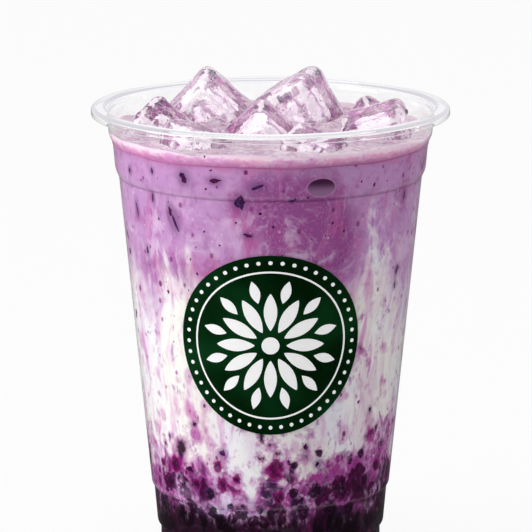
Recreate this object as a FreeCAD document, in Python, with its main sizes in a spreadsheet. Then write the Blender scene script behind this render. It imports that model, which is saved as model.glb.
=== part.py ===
"""Ube latte in a clear 16 oz cold cup: layered drink, ice and a round sticker.

A parametric FreeCAD document in millimetres. The cup stands on Z = 0 on its foot ring, the
axis is Z, and the sticker faces -Y. Every size is a cell of the spreadsheet "sizes", and the
pieces are tied to those cells: the drink takes its side from the cup's own cavity, the layers
share their boundaries, and the ice is cut out of the layers that it sits in.
"""

import FreeCAD, Part
import math
import os
import Sketcher

doc = FreeCAD.newDocument("ube_latte")
V = FreeCAD.Vector

# ---------------------------------------------------------------- sizes

CUP_SIZES = {
    "cup_height": 124.0,
    "wall": 0.5,
    "rim_radius": 49.0,
    "rim_width": 4.3,  # from the lip's outside in to the neck
    "rim_thickness": 1.0,
    "rim_round": 1.3,
    "lip_drop": 2.3,  # height of the rolled lip
    "lip_thickness": 0.8,
    "throat": 1.5,  # width and depth of the flare from the neck out onto the rim
    "throat_round": 1.2,
    "neck_depth": 9.7,  # from the rim's top down to the neck's foot
    "neck_step": 1.05,  # how far the neck stands out over the upper band
    "neck_step_height": 2.2,
    "neck_draft": 0.09,  # widening of the neck for each mm of height
    "neck_round": 2.0,
    "shoulder_depth": 19.2,  # from the rim's top down to the shoulder
    "shoulder_step": 1.0,  # how far the upper band stands out over the wall
    "shoulder_height": 2.2,
    "band_draft": 0.09,  # widening of both bands for each mm of height
    "upper_band_round": 6.0,
    "upper_band_top_round": 1.5,
    "wall_draft": 0.1,  # widening of the main wall for each mm of height
    "wall_foot_round": 2.0,
    "lower_step": 0.65,  # how far the wall stands out over the lower band
    "lower_step_height": 1.0,
    "lower_band_height": 11.2,
    "lower_band_round": 1.6,
    "foot_step": 0.95,  # how far the lower band stands out over the foot
    "foot_height": 6.7,
    "foot_width": 5.2,  # width of the ring that the cup stands on
    "foot_round": 1.2,
    "push_up": 3.2,  # height of the recessed base above the table
    "recess_slant": 2.7,  # width of the slope from the ring up to the base
    "recess_round": 1.0,
}

DRINK_SIZES = {
    "drink_drop": 7.4,  # from the rim's top down to the surface of the drink
    "meniscus": 0.9,
    "meniscus_width": 2.2,
    "meniscus_round": 2.7,
    "froth_depth": 2.4,
    "froth_wave": 0.35,
    "froth_wavelength": 26.0,
    "ube_level": 68.0,  # height of the boundary below the ube milk
    "ube_wave": 7.0,
    "ube_wavelength": 38.0,
    "milk_level": 21.0,  # height of the boundary below the milk
    "milk_wave": 4.5,
    "milk_wavelength": 21.0,
}

STICKER_SIZES = {
    "sticker_diameter": 50.4,
    "sticker_film": 0.25,
    "sticker_centre": 65.1,  # height of its centre over the table
}

STICKER_POINTS = 36  # points along the sticker's edge

ICE_SIZES = {
    "ice_taper": 3.0,  # draft of the tray's pockets, in degrees
    "ice_round": 3.4,
    "ice_depth_share": 0.94,  # depth of a pocket over its width
    "ice_reach": 0.64,  # how far a leaning cube reaches sideways, over its edge
}

# Each cube: edge, place of its centre from the axis, height of its centre over the drink's
# surface, and how it lies: turned about Z, leaned about Y and rolled about X, in degrees.
ICE_CUBES = {
    "ice_left": {"edge": 15.5, "x": -31.0, "y": 3.0, "up": -1.9, "turn": -12, "lean": 38, "roll": 22},
    "ice_back_left": {"edge": 19.0, "x": -17.6, "y": 20.5, "up": 0.7, "turn": 6, "lean": 43, "roll": 18},
    "ice_back_right": {"edge": 19.5, "x": 0.56, "y": 21.5, "up": 1.2, "turn": -6, "lean": 61, "roll": 14},
    "ice_middle": {"edge": 17.0, "x": -2.6, "y": -4.5, "up": -2.6, "turn": 14, "lean": 44, "roll": 24},
    "ice_right_back": {"edge": 14.0, "x": -0.84, "y": 16.5, "up": -2.2, "turn": 20, "lean": 30, "roll": 20},
    "ice_right": {"edge": 18.0, "x": 29.6, "y": -5.5, "up": -1.9, "turn": -6, "lean": -17, "roll": 12},
    "ice_front_left": {"edge": 17.0, "x": -20.5, "y": -21.5, "up": -3.2, "turn": 24, "lean": 14, "roll": 10},
    "ice_front_right": {"edge": 16.0, "x": 10.5, "y": -26.0, "up": -3.8, "turn": -16, "lean": 20, "roll": 12},
}
# The cubes of the back row lie side by side: the x of these is the room that they leave to
# the cube on their left.
BESIDE = {"ice_back_right": "ice_back_left", "ice_right_back": "ice_back_right"}
PLACE_WORDS = ("edge", "x", "y", "up", "turn", "lean", "roll")


def make_sheet():
    """The spreadsheet with every driving size, one cell and one alias each."""
    cells = {**CUP_SIZES, **DRINK_SIZES, **STICKER_SIZES, **ICE_SIZES}
    for cube, words in ICE_CUBES.items():
        for word in PLACE_WORDS:
            cells[f"{cube}_{word}"] = float(words[word])
    made = doc.addObject("Spreadsheet::Sheet", "sizes")
    for row, (alias, number) in enumerate(cells.items(), start=1):
        made.set(f"A{row}", alias)
        made.set(f"B{row}", repr(number))
        made.setAlias(f"B{row}", alias)
    doc.recompute()
    return made


sheet = make_sheet()


def value(expression):
    """The number that an expression on the sheet gives now."""
    return float(sheet.evalExpression(expression))


# ---------------------------------------------------------------- small tools


def plane_of(body, role):
    """One of a body's own origin planes, found by its role."""
    return next(f for f in body.Origin.OriginFeatures if f.Role == role)


def pin_point(sketch, line, radius, height):
    """Ties the start of a line to a radius and a height, given as expressions."""
    for word, axis, expression in (("DistanceX", -2, radius), ("DistanceY", -1, height)):
        if expression == "0":
            sketch.addConstraint(Sketcher.Constraint("PointOnObject", line, 1, axis))
            continue
        index = sketch.addConstraint(
            Sketcher.Constraint(word, -1, 1, line, 1, value(expression))
        )
        sketch.setExpression(f"Constraints[{index}]", expression)


def turned_outline(body, name, corners):
    """A closed outline of (radius, height) corners, turned round the axis into a solid."""
    sketch = body.newObject("Sketcher::SketchObject", name)
    sketch.AttachmentSupport = [(plane_of(body, "XZ_Plane"), "")]
    sketch.MapMode = "FlatFace"
    doc.recompute()
    points = [V(value(r), value(z), 0) for r, z in corners]
    count = len(points)
    sketch.addGeometry(
        [Part.LineSegment(points[i], points[(i + 1) % count]) for i in range(count)]
    )
    for i in range(count):
        sketch.addConstraint(Sketcher.Constraint("Coincident", i, 2, (i + 1) % count, 1))
    for i, (radius, height) in enumerate(corners):
        pin_point(sketch, i, radius, height)
    doc.recompute()
    turned = body.newObject("PartDesign::Revolution", name + "_turned")
    turned.Profile = sketch
    turned.ReferenceAxis = (sketch, ["V_Axis"])
    turned.Angle = 360.0
    doc.recompute()
    return turned


def ring_edges(feature, corner):
    """Names of the circular edges that pass a (radius, height) corner."""
    radius, height = value(corner[0]), value(corner[1])
    return [
        f"Edge{number}"
        for number, edge in enumerate(feature.Shape.Edges, start=1)
        if isinstance(edge.Curve, Part.Circle)
        and abs(edge.Curve.Center.z - height) < 1e-4
        and abs(edge.Curve.Radius - radius) < 1e-4
    ]


def round_corners(body, roundings):
    """Fillets corner rings one after another; roundings are (corner, radius expression)."""
    for number, (corner, radius) in enumerate(roundings, start=1):
        base = body.Tip
        rounded = body.newObject("PartDesign::Fillet", f"{body.Name}_round_{number}")
        rounded.Base = (base, ring_edges(base, corner))
        rounded.setExpression("Radius", radius)
        doc.recompute()


def boolean(kind, name, base, tool):
    """A Part::Cut or Part::Common of two objects of the document."""
    made = doc.addObject(f"Part::{kind}", name)
    made.Base = base
    made.Tool = tool
    made.Refine = False
    doc.recompute()
    return made


# ---------------------------------------------------------------- the cup

# Heights, from the table up.
LOWER_BAND_FOOT = "(sizes.foot_height + sizes.foot_step)"
LOWER_BAND_TOP = "(sizes.foot_height + sizes.lower_band_height)"
WALL_FOOT = f"({LOWER_BAND_TOP} + sizes.lower_step_height)"
SHOULDER = "(sizes.cup_height - sizes.shoulder_depth)"
UPPER_BAND_FOOT = f"({SHOULDER} + sizes.shoulder_height)"
NECK_FOOT = "(sizes.cup_height - sizes.neck_depth)"
NECK_BEND = f"({NECK_FOOT} + sizes.neck_step_height)"
LIP_FOOT = "(sizes.cup_height - sizes.lip_drop)"
RIM_UNDERSIDE = "(sizes.cup_height - sizes.rim_thickness)"
FLARE_OFFSET = "0.41 * sizes.wall"  # keeps the flare as thick as the wall
FLARE_FOOT = f"(sizes.cup_height - sizes.throat - {FLARE_OFFSET})"

# Outside radii, from the rim down.
LIP_INNER_RADIUS = "(sizes.rim_radius - sizes.lip_thickness)"
NECK_TOP_RADIUS = "(sizes.rim_radius - sizes.rim_width)"
FLARE_RADIUS = f"({NECK_TOP_RADIUS} + sizes.throat - sizes.rim_thickness + {FLARE_OFFSET})"
NECK_RADIUS = f"({NECK_TOP_RADIUS} - sizes.neck_draft * ({FLARE_FOOT} - {NECK_BEND}))"
UPPER_BAND_TOP_RADIUS = f"({NECK_RADIUS} - sizes.neck_step)"
UPPER_BAND_RADIUS = (
    f"({UPPER_BAND_TOP_RADIUS} - sizes.band_draft * ({NECK_FOOT} - {UPPER_BAND_FOOT}))"
)
WALL_TOP_RADIUS = f"({UPPER_BAND_RADIUS} - sizes.shoulder_step)"
WALL_FOOT_RADIUS = f"({WALL_TOP_RADIUS} - sizes.wall_draft * ({SHOULDER} - {WALL_FOOT}))"
LOWER_BAND_TOP_RADIUS = f"({WALL_FOOT_RADIUS} - sizes.lower_step)"
LOWER_BAND_RADIUS = (
    f"({LOWER_BAND_TOP_RADIUS} - sizes.band_draft * ({LOWER_BAND_TOP} - {LOWER_BAND_FOOT}))"
)
FOOT_RADIUS = f"({LOWER_BAND_RADIUS} - sizes.foot_step)"
RING_INNER_RADIUS = f"({FOOT_RADIUS} - sizes.foot_width)"
RECESS_RADIUS = f"({RING_INNER_RADIUS} - sizes.recess_slant)"

# The outside, from the middle of the base out and up to the rim. The pairs are named, so
# that the cavity can follow them at the wall's thickness.
OUTSIDE = {
    "base": ("0", "sizes.push_up"),
    "recess": (RECESS_RADIUS, "sizes.push_up"),
    "ring_inner": (RING_INNER_RADIUS, "0"),
    "foot": (FOOT_RADIUS, "0"),
    "foot_top": (FOOT_RADIUS, "sizes.foot_height"),
    "lower_band": (LOWER_BAND_RADIUS, LOWER_BAND_FOOT),
    "lower_band_top": (LOWER_BAND_TOP_RADIUS, LOWER_BAND_TOP),
    "wall_foot": (WALL_FOOT_RADIUS, WALL_FOOT),
    "wall_top": (WALL_TOP_RADIUS, SHOULDER),
    "upper_band": (UPPER_BAND_RADIUS, UPPER_BAND_FOOT),
    "upper_band_top": (UPPER_BAND_TOP_RADIUS, NECK_FOOT),
    "neck": (NECK_RADIUS, NECK_BEND),
    "neck_top": (NECK_TOP_RADIUS, FLARE_FOOT),
    "flare": (FLARE_RADIUS, RIM_UNDERSIDE),
    "lip_roof": (LIP_INNER_RADIUS, RIM_UNDERSIDE),
    "lip_inner": (LIP_INNER_RADIUS, LIP_FOOT),
    "lip_outer": ("sizes.rim_radius", LIP_FOOT),
    "rim_edge": ("sizes.rim_radius", "sizes.cup_height"),
    "rim_axis": ("0", "sizes.cup_height"),
}


def inside(corner, across=-1.0, up=1 / 3):
    """The cavity's corner behind an outside corner, shifted by shares of the wall."""
    radius, height = OUTSIDE[corner]
    return (f"({radius} + {across} * sizes.wall)", f"({height} + {up} * sizes.wall)")


THROAT = (f"({NECK_TOP_RADIUS} - sizes.wall)", "(sizes.cup_height - sizes.throat)")
MOUTH = (f"({NECK_TOP_RADIUS} - sizes.wall + sizes.throat)", "sizes.cup_height")
CAVITY = {
    "base": ("0", "(sizes.push_up + sizes.wall)"),
    "recess": inside("recess", 0.5, 1.0),
    "ring_inner": inside("ring_inner", 0.5, 1.0),
    "foot": inside("foot", -1.0, 1.0),
    "foot_top": inside("foot_top"),
    "lower_band": inside("lower_band"),
    "lower_band_top": inside("lower_band_top"),
    "wall_foot": inside("wall_foot"),
    "wall_top": inside("wall_top"),
    "upper_band": inside("upper_band"),
    "upper_band_top": inside("upper_band_top"),
    "neck": inside("neck"),
    "throat": THROAT,
    "mouth": MOUTH,
    "rim_axis": ("0", "sizes.cup_height"),
}

# Corners that bulge into the cavity's side of the wall are rounder outside by the wall's
# thickness, and the others are rounder inside by as much.
BULGING = ("lower_band", "wall_foot", "upper_band", "neck")
HOLLOW = ("upper_band_top",)


def make_outside():
    """The cup as if it were filled solid, with its foot, bands, neck and rolled lip."""
    body = doc.addObject("PartDesign::Body", "cup_outside")
    turned_outline(body, "outside_outline", list(OUTSIDE.values()))
    rounded = ("recess", "foot", *BULGING, *HOLLOW)
    roundings = [(OUTSIDE[corner], f"sizes.{corner}_round") for corner in rounded]
    roundings.append((OUTSIDE["rim_edge"], "sizes.rim_round"))
    round_corners(body, roundings)
    return body


def make_cavity():
    """The room inside the cup, up to the rim. The drink takes its side from it."""
    body = doc.addObject("PartDesign::Body", "cup_cavity")
    turned_outline(body, "cavity_outline", list(CAVITY.values()))
    roundings = [
        (CAVITY[corner], f"sizes.{corner}_round - sizes.wall") for corner in ("foot", *BULGING)
    ]
    roundings += [(CAVITY[corner], f"sizes.{corner}_round + sizes.wall") for corner in HOLLOW]
    roundings.append((CAVITY["throat"], "sizes.throat_round"))
    round_corners(body, roundings)
    return body


# ---------------------------------------------------------------- the sticker


def make_sticker():
    """A round film that follows the cone of the main wall, cut as a wrapped circle."""
    cones = []
    for name, film in (("sticker_outer", "sizes.sticker_film"), ("sticker_inner", "0")):
        cone = doc.addObject("Part::Cone", name)
        cone.setExpression("Radius1", f"{WALL_FOOT_RADIUS} + {film}")
        cone.setExpression("Radius2", f"{WALL_TOP_RADIUS} + {film}")
        cone.setExpression("Height", f"{SHOULDER} - {WALL_FOOT}")
        cone.setExpression("Placement.Base.z", WALL_FOOT)
        cones.append(cone)
    doc.recompute()
    shell = boolean("Cut", "sticker_shell", *cones)

    half = value("sizes.sticker_diameter") / 2
    centre = value("sizes.sticker_centre")
    share = (centre - value(WALL_FOOT)) / (value(SHOULDER) - value(WALL_FOOT))
    around = value(WALL_FOOT_RADIUS) * (1 - share) + value(WALL_TOP_RADIUS) * share
    lean = math.cos(math.atan(value("sizes.wall_draft")))
    points = []
    for step in range(STICKER_POINTS):
        angle = 2 * math.pi * step / STICKER_POINTS
        across = around * math.sin(half * math.cos(angle) / around)
        points.append(V(across, 0, centre + half * lean * math.sin(angle)))
    curve = Part.BSplineCurve()
    curve.interpolate(Points=points, PeriodicFlag=True)
    outline = doc.addObject("Part::Feature", "sticker_outline")
    outline.Shape = Part.Wire(curve.toShape())

    prism = doc.addObject("Part::Extrusion", "sticker_prism")
    prism.Base = outline
    prism.DirMode = "Custom"
    prism.Dir = V(0, -1, 0)
    prism.setExpression("LengthFwd", "sizes.rim_radius")
    prism.Solid = True
    doc.recompute()
    return boolean("Common", "sticker", shell, prism)


# ---------------------------------------------------------------- the ice


def ice_x(name):
    """Where a cube's centre lies along X: from the axis, or from the cube on its left."""
    if name not in BESIDE:
        return f"sizes.{name}_x"
    left = BESIDE[name]
    edges = f"(sizes.{left}_edge + sizes.{name}_edge)"
    return f"({ice_x(left)} + sizes.ice_reach * {edges} + sizes.{name}_x)"


def make_ice_cube(name):
    """One cube from a tapered tray pocket, its edges melted round, lying as it fell."""
    body = doc.addObject("PartDesign::Body", name)
    sketch = body.newObject("Sketcher::SketchObject", name + "_square")
    sketch.AttachmentSupport = [(plane_of(body, "XY_Plane"), "")]
    sketch.MapMode = "FlatFace"
    edge = f"sizes.{name}_edge"
    half = value(edge) / 2
    square = [V(-half, -half, 0), V(half, -half, 0), V(half, half, 0), V(-half, half, 0)]
    sketch.addGeometry([Part.LineSegment(square[i], square[(i + 1) % 4]) for i in range(4)])
    for i in range(4):
        sketch.addConstraint(Sketcher.Constraint("Coincident", i, 2, (i + 1) % 4, 1))
    for i, word in enumerate(("Horizontal", "Vertical", "Horizontal", "Vertical")):
        sketch.addConstraint(Sketcher.Constraint(word, i))
    sketch.addConstraint(Sketcher.Constraint("Symmetric", 0, 1, 2, 1, -1, 1))
    depth = f"sizes.ice_depth_share * {edge}"
    for word, line, size in (("DistanceX", 0, edge), ("DistanceY", 1, depth)):
        index = sketch.addConstraint(
            Sketcher.Constraint(word, line, 1, line, 2, value(size))
        )
        sketch.setExpression(f"Constraints[{index}]", size)
    doc.recompute()

    block = body.newObject("PartDesign::Pad", name + "_block")
    block.Profile = sketch
    block.Midplane = True
    block.setExpression("Length", edge)
    block.setExpression("TaperAngle", "-sizes.ice_taper")
    doc.recompute()
    melted = body.newObject("PartDesign::Fillet", name + "_melted")
    melted.Base = (block, [f"Edge{i + 1}" for i in range(len(block.Shape.Edges))])
    melted.setExpression("Radius", "sizes.ice_round")

    turn, lean, roll = (value(f"sizes.{name}_{word}") for word in ("turn", "lean", "roll"))
    body.Placement = FreeCAD.Placement(V(0, 0, 0), FreeCAD.Rotation(turn, lean, roll))
    body.setExpression("Placement.Base.x", ice_x(name))
    body.setExpression("Placement.Base.y", f"sizes.{name}_y")
    body.setExpression(
        "Placement.Base.z", f"sizes.cup_height - sizes.drink_drop + sizes.{name}_up"
    )
    doc.recompute()
    return body


# ---------------------------------------------------------------- the drink


def make_surface_tool():
    """Everything under the drink's surface, which climbs the wall in a small meniscus."""
    body = doc.addObject("PartDesign::Body", "below_surface")
    surface = "(sizes.cup_height - sizes.drink_drop)"
    wall_line = f"({NECK_RADIUS} - sizes.wall)"
    climb = f"({wall_line} - sizes.meniscus_width)"
    turned_outline(
        body,
        "surface_outline",
        [
            ("0", surface),
            (climb, surface),
            (wall_line, f"({surface} + sizes.meniscus)"),
            ("sizes.rim_radius", f"({surface} + sizes.meniscus)"),
            ("sizes.rim_radius", "0"),
            ("0", "0"),
        ],
    )
    round_corners(body, [((climb, surface), "sizes.meniscus_round")])
    return body


STEPS_PER_WAVE = 4  # points of a boundary's grid for each of its waves
BOUNDARY_MARGIN = 3.0  # how far a boundary runs on past the cup's wall


def wave(x, y, length):
    """A soft uneven field from -1 to 1: three plane waves that cross, length apart."""
    k = 2 * math.pi / length
    first = math.sin(k * (0.94 * x + 0.34 * y) + 0.8)
    second = math.sin(k * (-0.42 * x + 0.91 * y) * 0.83 + 2.1)
    third = math.sin(k * (0.71 * x - 0.70 * y) * 1.31 + 4.4)
    return (first + second + 0.6 * third) / 2.6


def make_floor_tool(layer, level, around):
    """Everything under the wavy boundary below a layer, as one solid. The boundary spans a
    square that clears the cup's wall, whose radius there is around."""
    height, length = value(f"sizes.{layer}_wave"), value(f"sizes.{layer}_wavelength")
    reach = value(around) + BOUNDARY_MARGIN
    steps = math.ceil(STEPS_PER_WAVE * 2 * reach / length)
    places = [reach * (2 * i / steps - 1) for i in range(steps + 1)]
    grid = [[V(x, y, value(level) + height * wave(x, y, length)) for y in places] for x in places]
    boundary = Part.BSplineSurface()
    boundary.interpolate(grid)
    tool = doc.addObject("Part::Feature", f"under_{layer}")
    tool.Shape = boundary.toShape().extrude(V(0, 0, -value("sizes.cup_height")))
    return tool


def make_drink(cavity, cubes):
    """The four layers: jam, milk, ube milk and froth. Each takes what lies between two
    boundaries, and the upper two are cut round the ice."""
    drink = boolean("Common", "drink", cavity, make_surface_tool())
    wall_at = f"({WALL_FOOT_RADIUS} + sizes.wall_draft * (%s - {WALL_FOOT}))"
    froth_level = "sizes.cup_height - sizes.drink_drop - sizes.froth_depth"
    under_froth = make_floor_tool("froth", froth_level, NECK_RADIUS)
    under_ube = make_floor_tool("ube", "sizes.ube_level", wall_at % "sizes.ube_level")
    under_milk = make_floor_tool("milk", "sizes.milk_level", wall_at % "sizes.milk_level")
    ice = doc.addObject("Part::Compound", "ice")
    ice.Links = cubes
    doc.recompute()
    jam = boolean("Common", "jam", drink, under_milk)
    up_to_milk = boolean("Common", "up_to_milk", drink, under_ube)
    milk = boolean("Cut", "milk", up_to_milk, under_milk)
    up_to_ube = boolean("Common", "up_to_ube", drink, under_froth)
    ube = boolean("Cut", "ube", boolean("Cut", "ube_whole", up_to_ube, under_ube), ice)
    froth = boolean("Cut", "froth", boolean("Cut", "froth_whole", drink, under_froth), ice)
    return [jam, milk, ube, froth]


# ---------------------------------------------------------------- build and write


def check_document():
    """Stops if any object of the document failed to recompute."""
    failed = [o.Name for o in doc.Objects if {"Invalid", "Error"} & set(o.State)]
    if failed:
        raise RuntimeError(f"failed objects: {failed}")


def write_parts(pieces):
    """Writes each piece as parts/LABEL.step, once all of them are sound."""
    for piece in pieces:
        shape = piece.Shape
        if shape.isNull() or not shape.isValid() or not shape.Solids:
            raise RuntimeError(f"{piece.Label} has no valid solid")
    os.makedirs("parts", exist_ok=True)
    for piece in pieces:
        piece.Shape.exportStep(f"parts/{piece.Label}.step")
        volume = piece.Shape.Volume / 1000
        print(f"{piece.Label:18s} solids {len(piece.Shape.Solids)}  volume {volume:.2f} cm3")


def main():
    cavity = make_cavity()
    cup = boolean("Cut", "cup", make_outside(), cavity)
    sticker = make_sticker()
    cubes = [make_ice_cube(name) for name in ICE_CUBES]
    layers = make_drink(cavity, cubes)
    check_document()
    write_parts([cup, sticker, *cubes, *layers])


main()
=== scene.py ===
import math
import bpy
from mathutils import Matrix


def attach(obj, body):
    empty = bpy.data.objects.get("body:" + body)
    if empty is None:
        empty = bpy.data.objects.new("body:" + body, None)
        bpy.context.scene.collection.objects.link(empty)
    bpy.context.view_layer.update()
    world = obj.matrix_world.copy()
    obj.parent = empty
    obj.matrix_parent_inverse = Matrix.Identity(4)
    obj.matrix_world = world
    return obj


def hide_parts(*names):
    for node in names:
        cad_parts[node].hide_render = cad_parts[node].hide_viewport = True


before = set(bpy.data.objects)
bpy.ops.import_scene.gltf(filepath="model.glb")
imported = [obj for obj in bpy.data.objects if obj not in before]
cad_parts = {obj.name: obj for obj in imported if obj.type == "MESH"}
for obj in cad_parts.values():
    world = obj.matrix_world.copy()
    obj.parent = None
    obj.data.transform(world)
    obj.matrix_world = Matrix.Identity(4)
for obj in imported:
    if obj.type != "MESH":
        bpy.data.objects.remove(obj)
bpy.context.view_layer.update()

from types import SimpleNamespace

import bpy
import numpy as np
from mathutils import Vector

mm = 0.001


class Field:
    # one output of a shader node; field["name"] is another output of that node, and
    # arithmetic adds a math node, for vectors where the field is a vector or a colour
    def __init__(self, socket):
        self.socket = socket
        self.tree = socket.id_data
        self.vector = socket.type in ("VECTOR", "RGBA")

    def __getitem__(self, name):
        return Field(self.socket.node.outputs[name])

    def __add__(self, other):
        return calc("ADD", self, other)

    def __sub__(self, other):
        return calc("SUBTRACT", self, other)

    def __rsub__(self, other):
        return calc("SUBTRACT", other, self)

    def __mul__(self, other):
        scaled = self.vector and not isinstance(other, tuple)
        return calc("SCALE" if scaled else "MULTIPLY", self, other)

    def __truediv__(self, other):
        return calc("DIVIDE", self, other)

    def __rtruediv__(self, other):
        return calc("DIVIDE", other, self)

    def __abs__(self):
        return calc("ABSOLUTE", self)


def put(tree, kind, feeds=None, **settings):
    # one node; settings are its properties, feeds are fields or plain values for its sockets
    node = tree.nodes.new(kind)
    for name, setting in settings.items():
        setattr(node, name, setting)
    for name, feed in (feeds or {}).items():
        if isinstance(feed, Field):
            tree.links.new(feed.socket, node.inputs[name])
        else:
            node.inputs[name].default_value = feed
    return Field(node.outputs[0]) if node.outputs else None


def calc(operation, first, second=0.0, clamp=False):
    # a math node on two feeds; the factor of a scale goes to the fourth socket
    owner = first if isinstance(first, Field) else second
    kind = "ShaderNodeVectorMath" if owner.vector else "ShaderNodeMath"
    feeds = {0: first, 3 if operation == "SCALE" else 1: second}
    result = put(owner.tree, kind, feeds, operation=operation)
    if clamp:
        result.socket.node.use_clamp = True
    return result


def capped(first, second):
    # first * second, kept within 0 and 1
    return calc("MULTIPLY", first, second, clamp=True)


def larger(first, second):
    return calc("MAXIMUM", first, second)


def split(vector):
    parts = put(vector.tree, "ShaderNodeSeparateXYZ", {0: vector})
    return parts["X"], parts["Y"], parts["Z"]


def combine(x, y, z):
    return put(x.tree, "ShaderNodeCombineXYZ", {0: x, 1: y, 2: z})


def tint(red, green, blue):
    # screen colour in 0..255 to linear light: ((c + 0.055) / 1.055) ** 2.4
    def light(c):
        c = c / 255
        return c / 12.92 if c <= 0.04045 else ((c + 0.055) / 1.055) ** 2.4
    return (light(red), light(green), light(blue), 1.0)


def blend(share, first, second):
    return put(share.tree, "ShaderNodeMix", {0: share, 6: first, 7: second}, data_type="RGBA")[2]


def fade(value, low, high, start=0.0, end=1.0):
    # smooth step: start at low, end at high
    feeds = {"Value": value, "From Min": low, "From Max": high, "To Min": start, "To Max": end}
    return put(value.tree, "ShaderNodeMapRange", feeds, interpolation_type="SMOOTHSTEP")


def wash(colour, *layers):
    # tints laid over a colour one by one: (share, red, green, blue), or with the limits of a
    # fade, (value, low, high, start, end, red, green, blue), where start and end may be left out
    for share, *numbers in layers:
        if len(numbers) > 3:
            share = fade(share, *numbers[:-3])
        colour = blend(share, colour, tint(*numbers[-3:]))
    return colour


def cloud(place, scale, detail=3.0, rough=0.5, bend=0.0, up=1.0):
    # noise, drawn out along Z where up is below 1
    if up != 1.0:
        place = place * (1.0, 1.0, up)
    feeds = {"Vector": place, "Scale": scale, "Detail": detail, "Roughness": rough,
             "Distortion": bend}
    return put(place.tree, "ShaderNodeTexNoise", feeds)


def stir(place, noise, amount):
    # place + (noise - 0.5) * amount, with the noise's colour as a vector
    return place + (noise["Color"] - (0.5, 0.5, 0.5)) * amount


def cells(place, scale, feature, **feeds):
    return put(place.tree, "ShaderNodeTexVoronoi", {"Vector": place, "Scale": scale, **feeds},
               feature=feature)


def dots(place, scale, size, chance):
    # small round dots: near a cell's middle, in the cells whose draw passes the chance
    spots = cells(place, scale, "F1")
    draw = split(spots["Color"])[0]
    near = fade(spots["Distance"] / ((draw + 0.4) * size), 1.0, 0.55)
    return near * calc("GREATER_THAN", draw, 1 - chance)


def relief(height, strength, distance):
    feeds = {"Height": height, "Strength": strength, "Distance": distance}
    return put(height.tree, "ShaderNodeBump", feeds)


def mixShader(share, first, second):
    return put(share.tree, "ShaderNodeMixShader", {0: share, 1: first, 2: second})


def newGroup(name, inputs, outputs):
    # a node group and a field that gives its inputs by name
    group = bpy.data.node_groups.new(name, "ShaderNodeTree")
    for side, sockets in (("INPUT", inputs), ("OUTPUT", outputs)):
        for socketName, kind in sockets.items():
            kind = "NodeSocket" + kind
            group.interface.new_socket(name=socketName, in_out=side, socket_type=kind)
    return group, put(group, "NodeGroupInput")


def newMaterial(name):
    # an empty material and its Object coordinates in metres
    material = bpy.data.materials.new(name)
    material.use_nodes = True
    material.node_tree.nodes.clear()
    return material, put(material.node_tree, "ShaderNodeTexCoord")["Object"]


def surface(material, shader):
    put(material.node_tree, "ShaderNodeOutputMaterial", {"Surface": shader})
    return material


def paint(material, colour, rough, gloss, glow=0.0, **others):
    # an ordinary surface; a glow makes it shine in its own colour, which is painted light; the other
    # feeds go by their sockets' names
    feeds = {"Base Color": colour, "Roughness": rough, "Specular IOR Level": gloss, **others}
    if glow:
        feeds.update({"Emission Color": colour, "Emission Strength": glow})
    return surface(material, put(material.node_tree, "ShaderNodeBsdfPrincipled", feeds))


def makePiece(name, points, faces, material, slot, replaced=(), attributes=None, sharp=50):
    # points in mm, an array of rows of three; faces are rows of 3 or 4 numbers, -1 ends a triangle
    points = np.asarray(points, float) * mm
    mesh = bpy.data.meshes.new(name)
    sizes = np.where(faces[:, 3] < 0, 3, 4)
    corners = faces.ravel()
    corners = corners[corners >= 0].astype(np.int32)
    starts = np.concatenate([[0], np.cumsum(sizes)[:-1]]).astype(np.int32)
    mesh.vertices.add(len(points))
    mesh.vertices.foreach_set("co", points.astype(np.float32).ravel())
    mesh.loops.add(len(corners))
    mesh.loops.foreach_set("vertex_index", corners)
    mesh.polygons.add(len(sizes))
    mesh.polygons.foreach_set("loop_start", starts)
    mesh.polygons.foreach_set("use_smooth", np.ones(len(sizes), bool))
    mesh.update(calc_edges=True)
    mesh.set_sharp_from_angle(angle=math.radians(sharp))
    for attributeName, values in (attributes or {}).items():
        attribute = mesh.attributes.new(attributeName, "FLOAT", "POINT")
        attribute.data.foreach_set("value", np.asarray(values, np.float32).ravel())
    mesh.materials.append(material)
    piece = bpy.data.objects.new(name, mesh)
    bpy.context.scene.collection.objects.link(piece)
    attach(piece, "root")
    if replaced:
        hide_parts(*replaced)
    return piece


def roundAngles(count):
    return np.arange(count) * 2 * math.pi / count


def circle(radius, count):
    return radius * np.stack([np.cos(roundAngles(count)), np.sin(roundAngles(count))], 1)


def polar(radius, angles, z):
    # points (r cos a, r sin a, z)
    x, y = radius * np.cos(angles), radius * np.sin(angles)
    return np.stack([x, y, z + 0 * x], -1)


def turned(line, count):
    # a ring for each (r, z) point of a line
    return polar(line[:, :1], roundAngles(count), line[:, 1:])


def gridFaces(m, n, closedRows=False, closedRings=False):
    # faces (i, j), (i + 1, j), (i + 1, j + 1), (i, j + 1) between m rows of n points; the last
    # row or the last point of each can join the first
    i, j = np.meshgrid(np.arange(m if closedRows else m - 1),
                       np.arange(n if closedRings else n - 1), indexing="ij")
    up, on = (i + 1) % m, (j + 1) % n
    return np.stack([i * n + j, up * n + j, up * n + on, i * n + on], -1).reshape(-1, 4)


def closedTurn(rows):
    # rows: array (m, n, 3), each row a ring; the first and last are closed with a pole at
    # their middle, and the faces look out when the rows run from the bottom up the outside
    m, n = rows.shape[:2]
    points = np.concatenate([rows.reshape(-1, 3), rows[:1].mean(1), rows[-1:].mean(1)])
    sides = gridFaces(m, n, closedRings=True)[:, [0, 3, 2, 1]]
    j, none = np.arange(n), np.full(n, -1)
    k = (j + 1) % n
    foot = np.stack([np.full(n, m * n), k, j, none], -1)
    top = np.stack([np.full(n, m * n + 1), (m - 1) * n + j, (m - 1) * n + k, none], -1)
    return points, np.concatenate([sides, foot, top])


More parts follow.
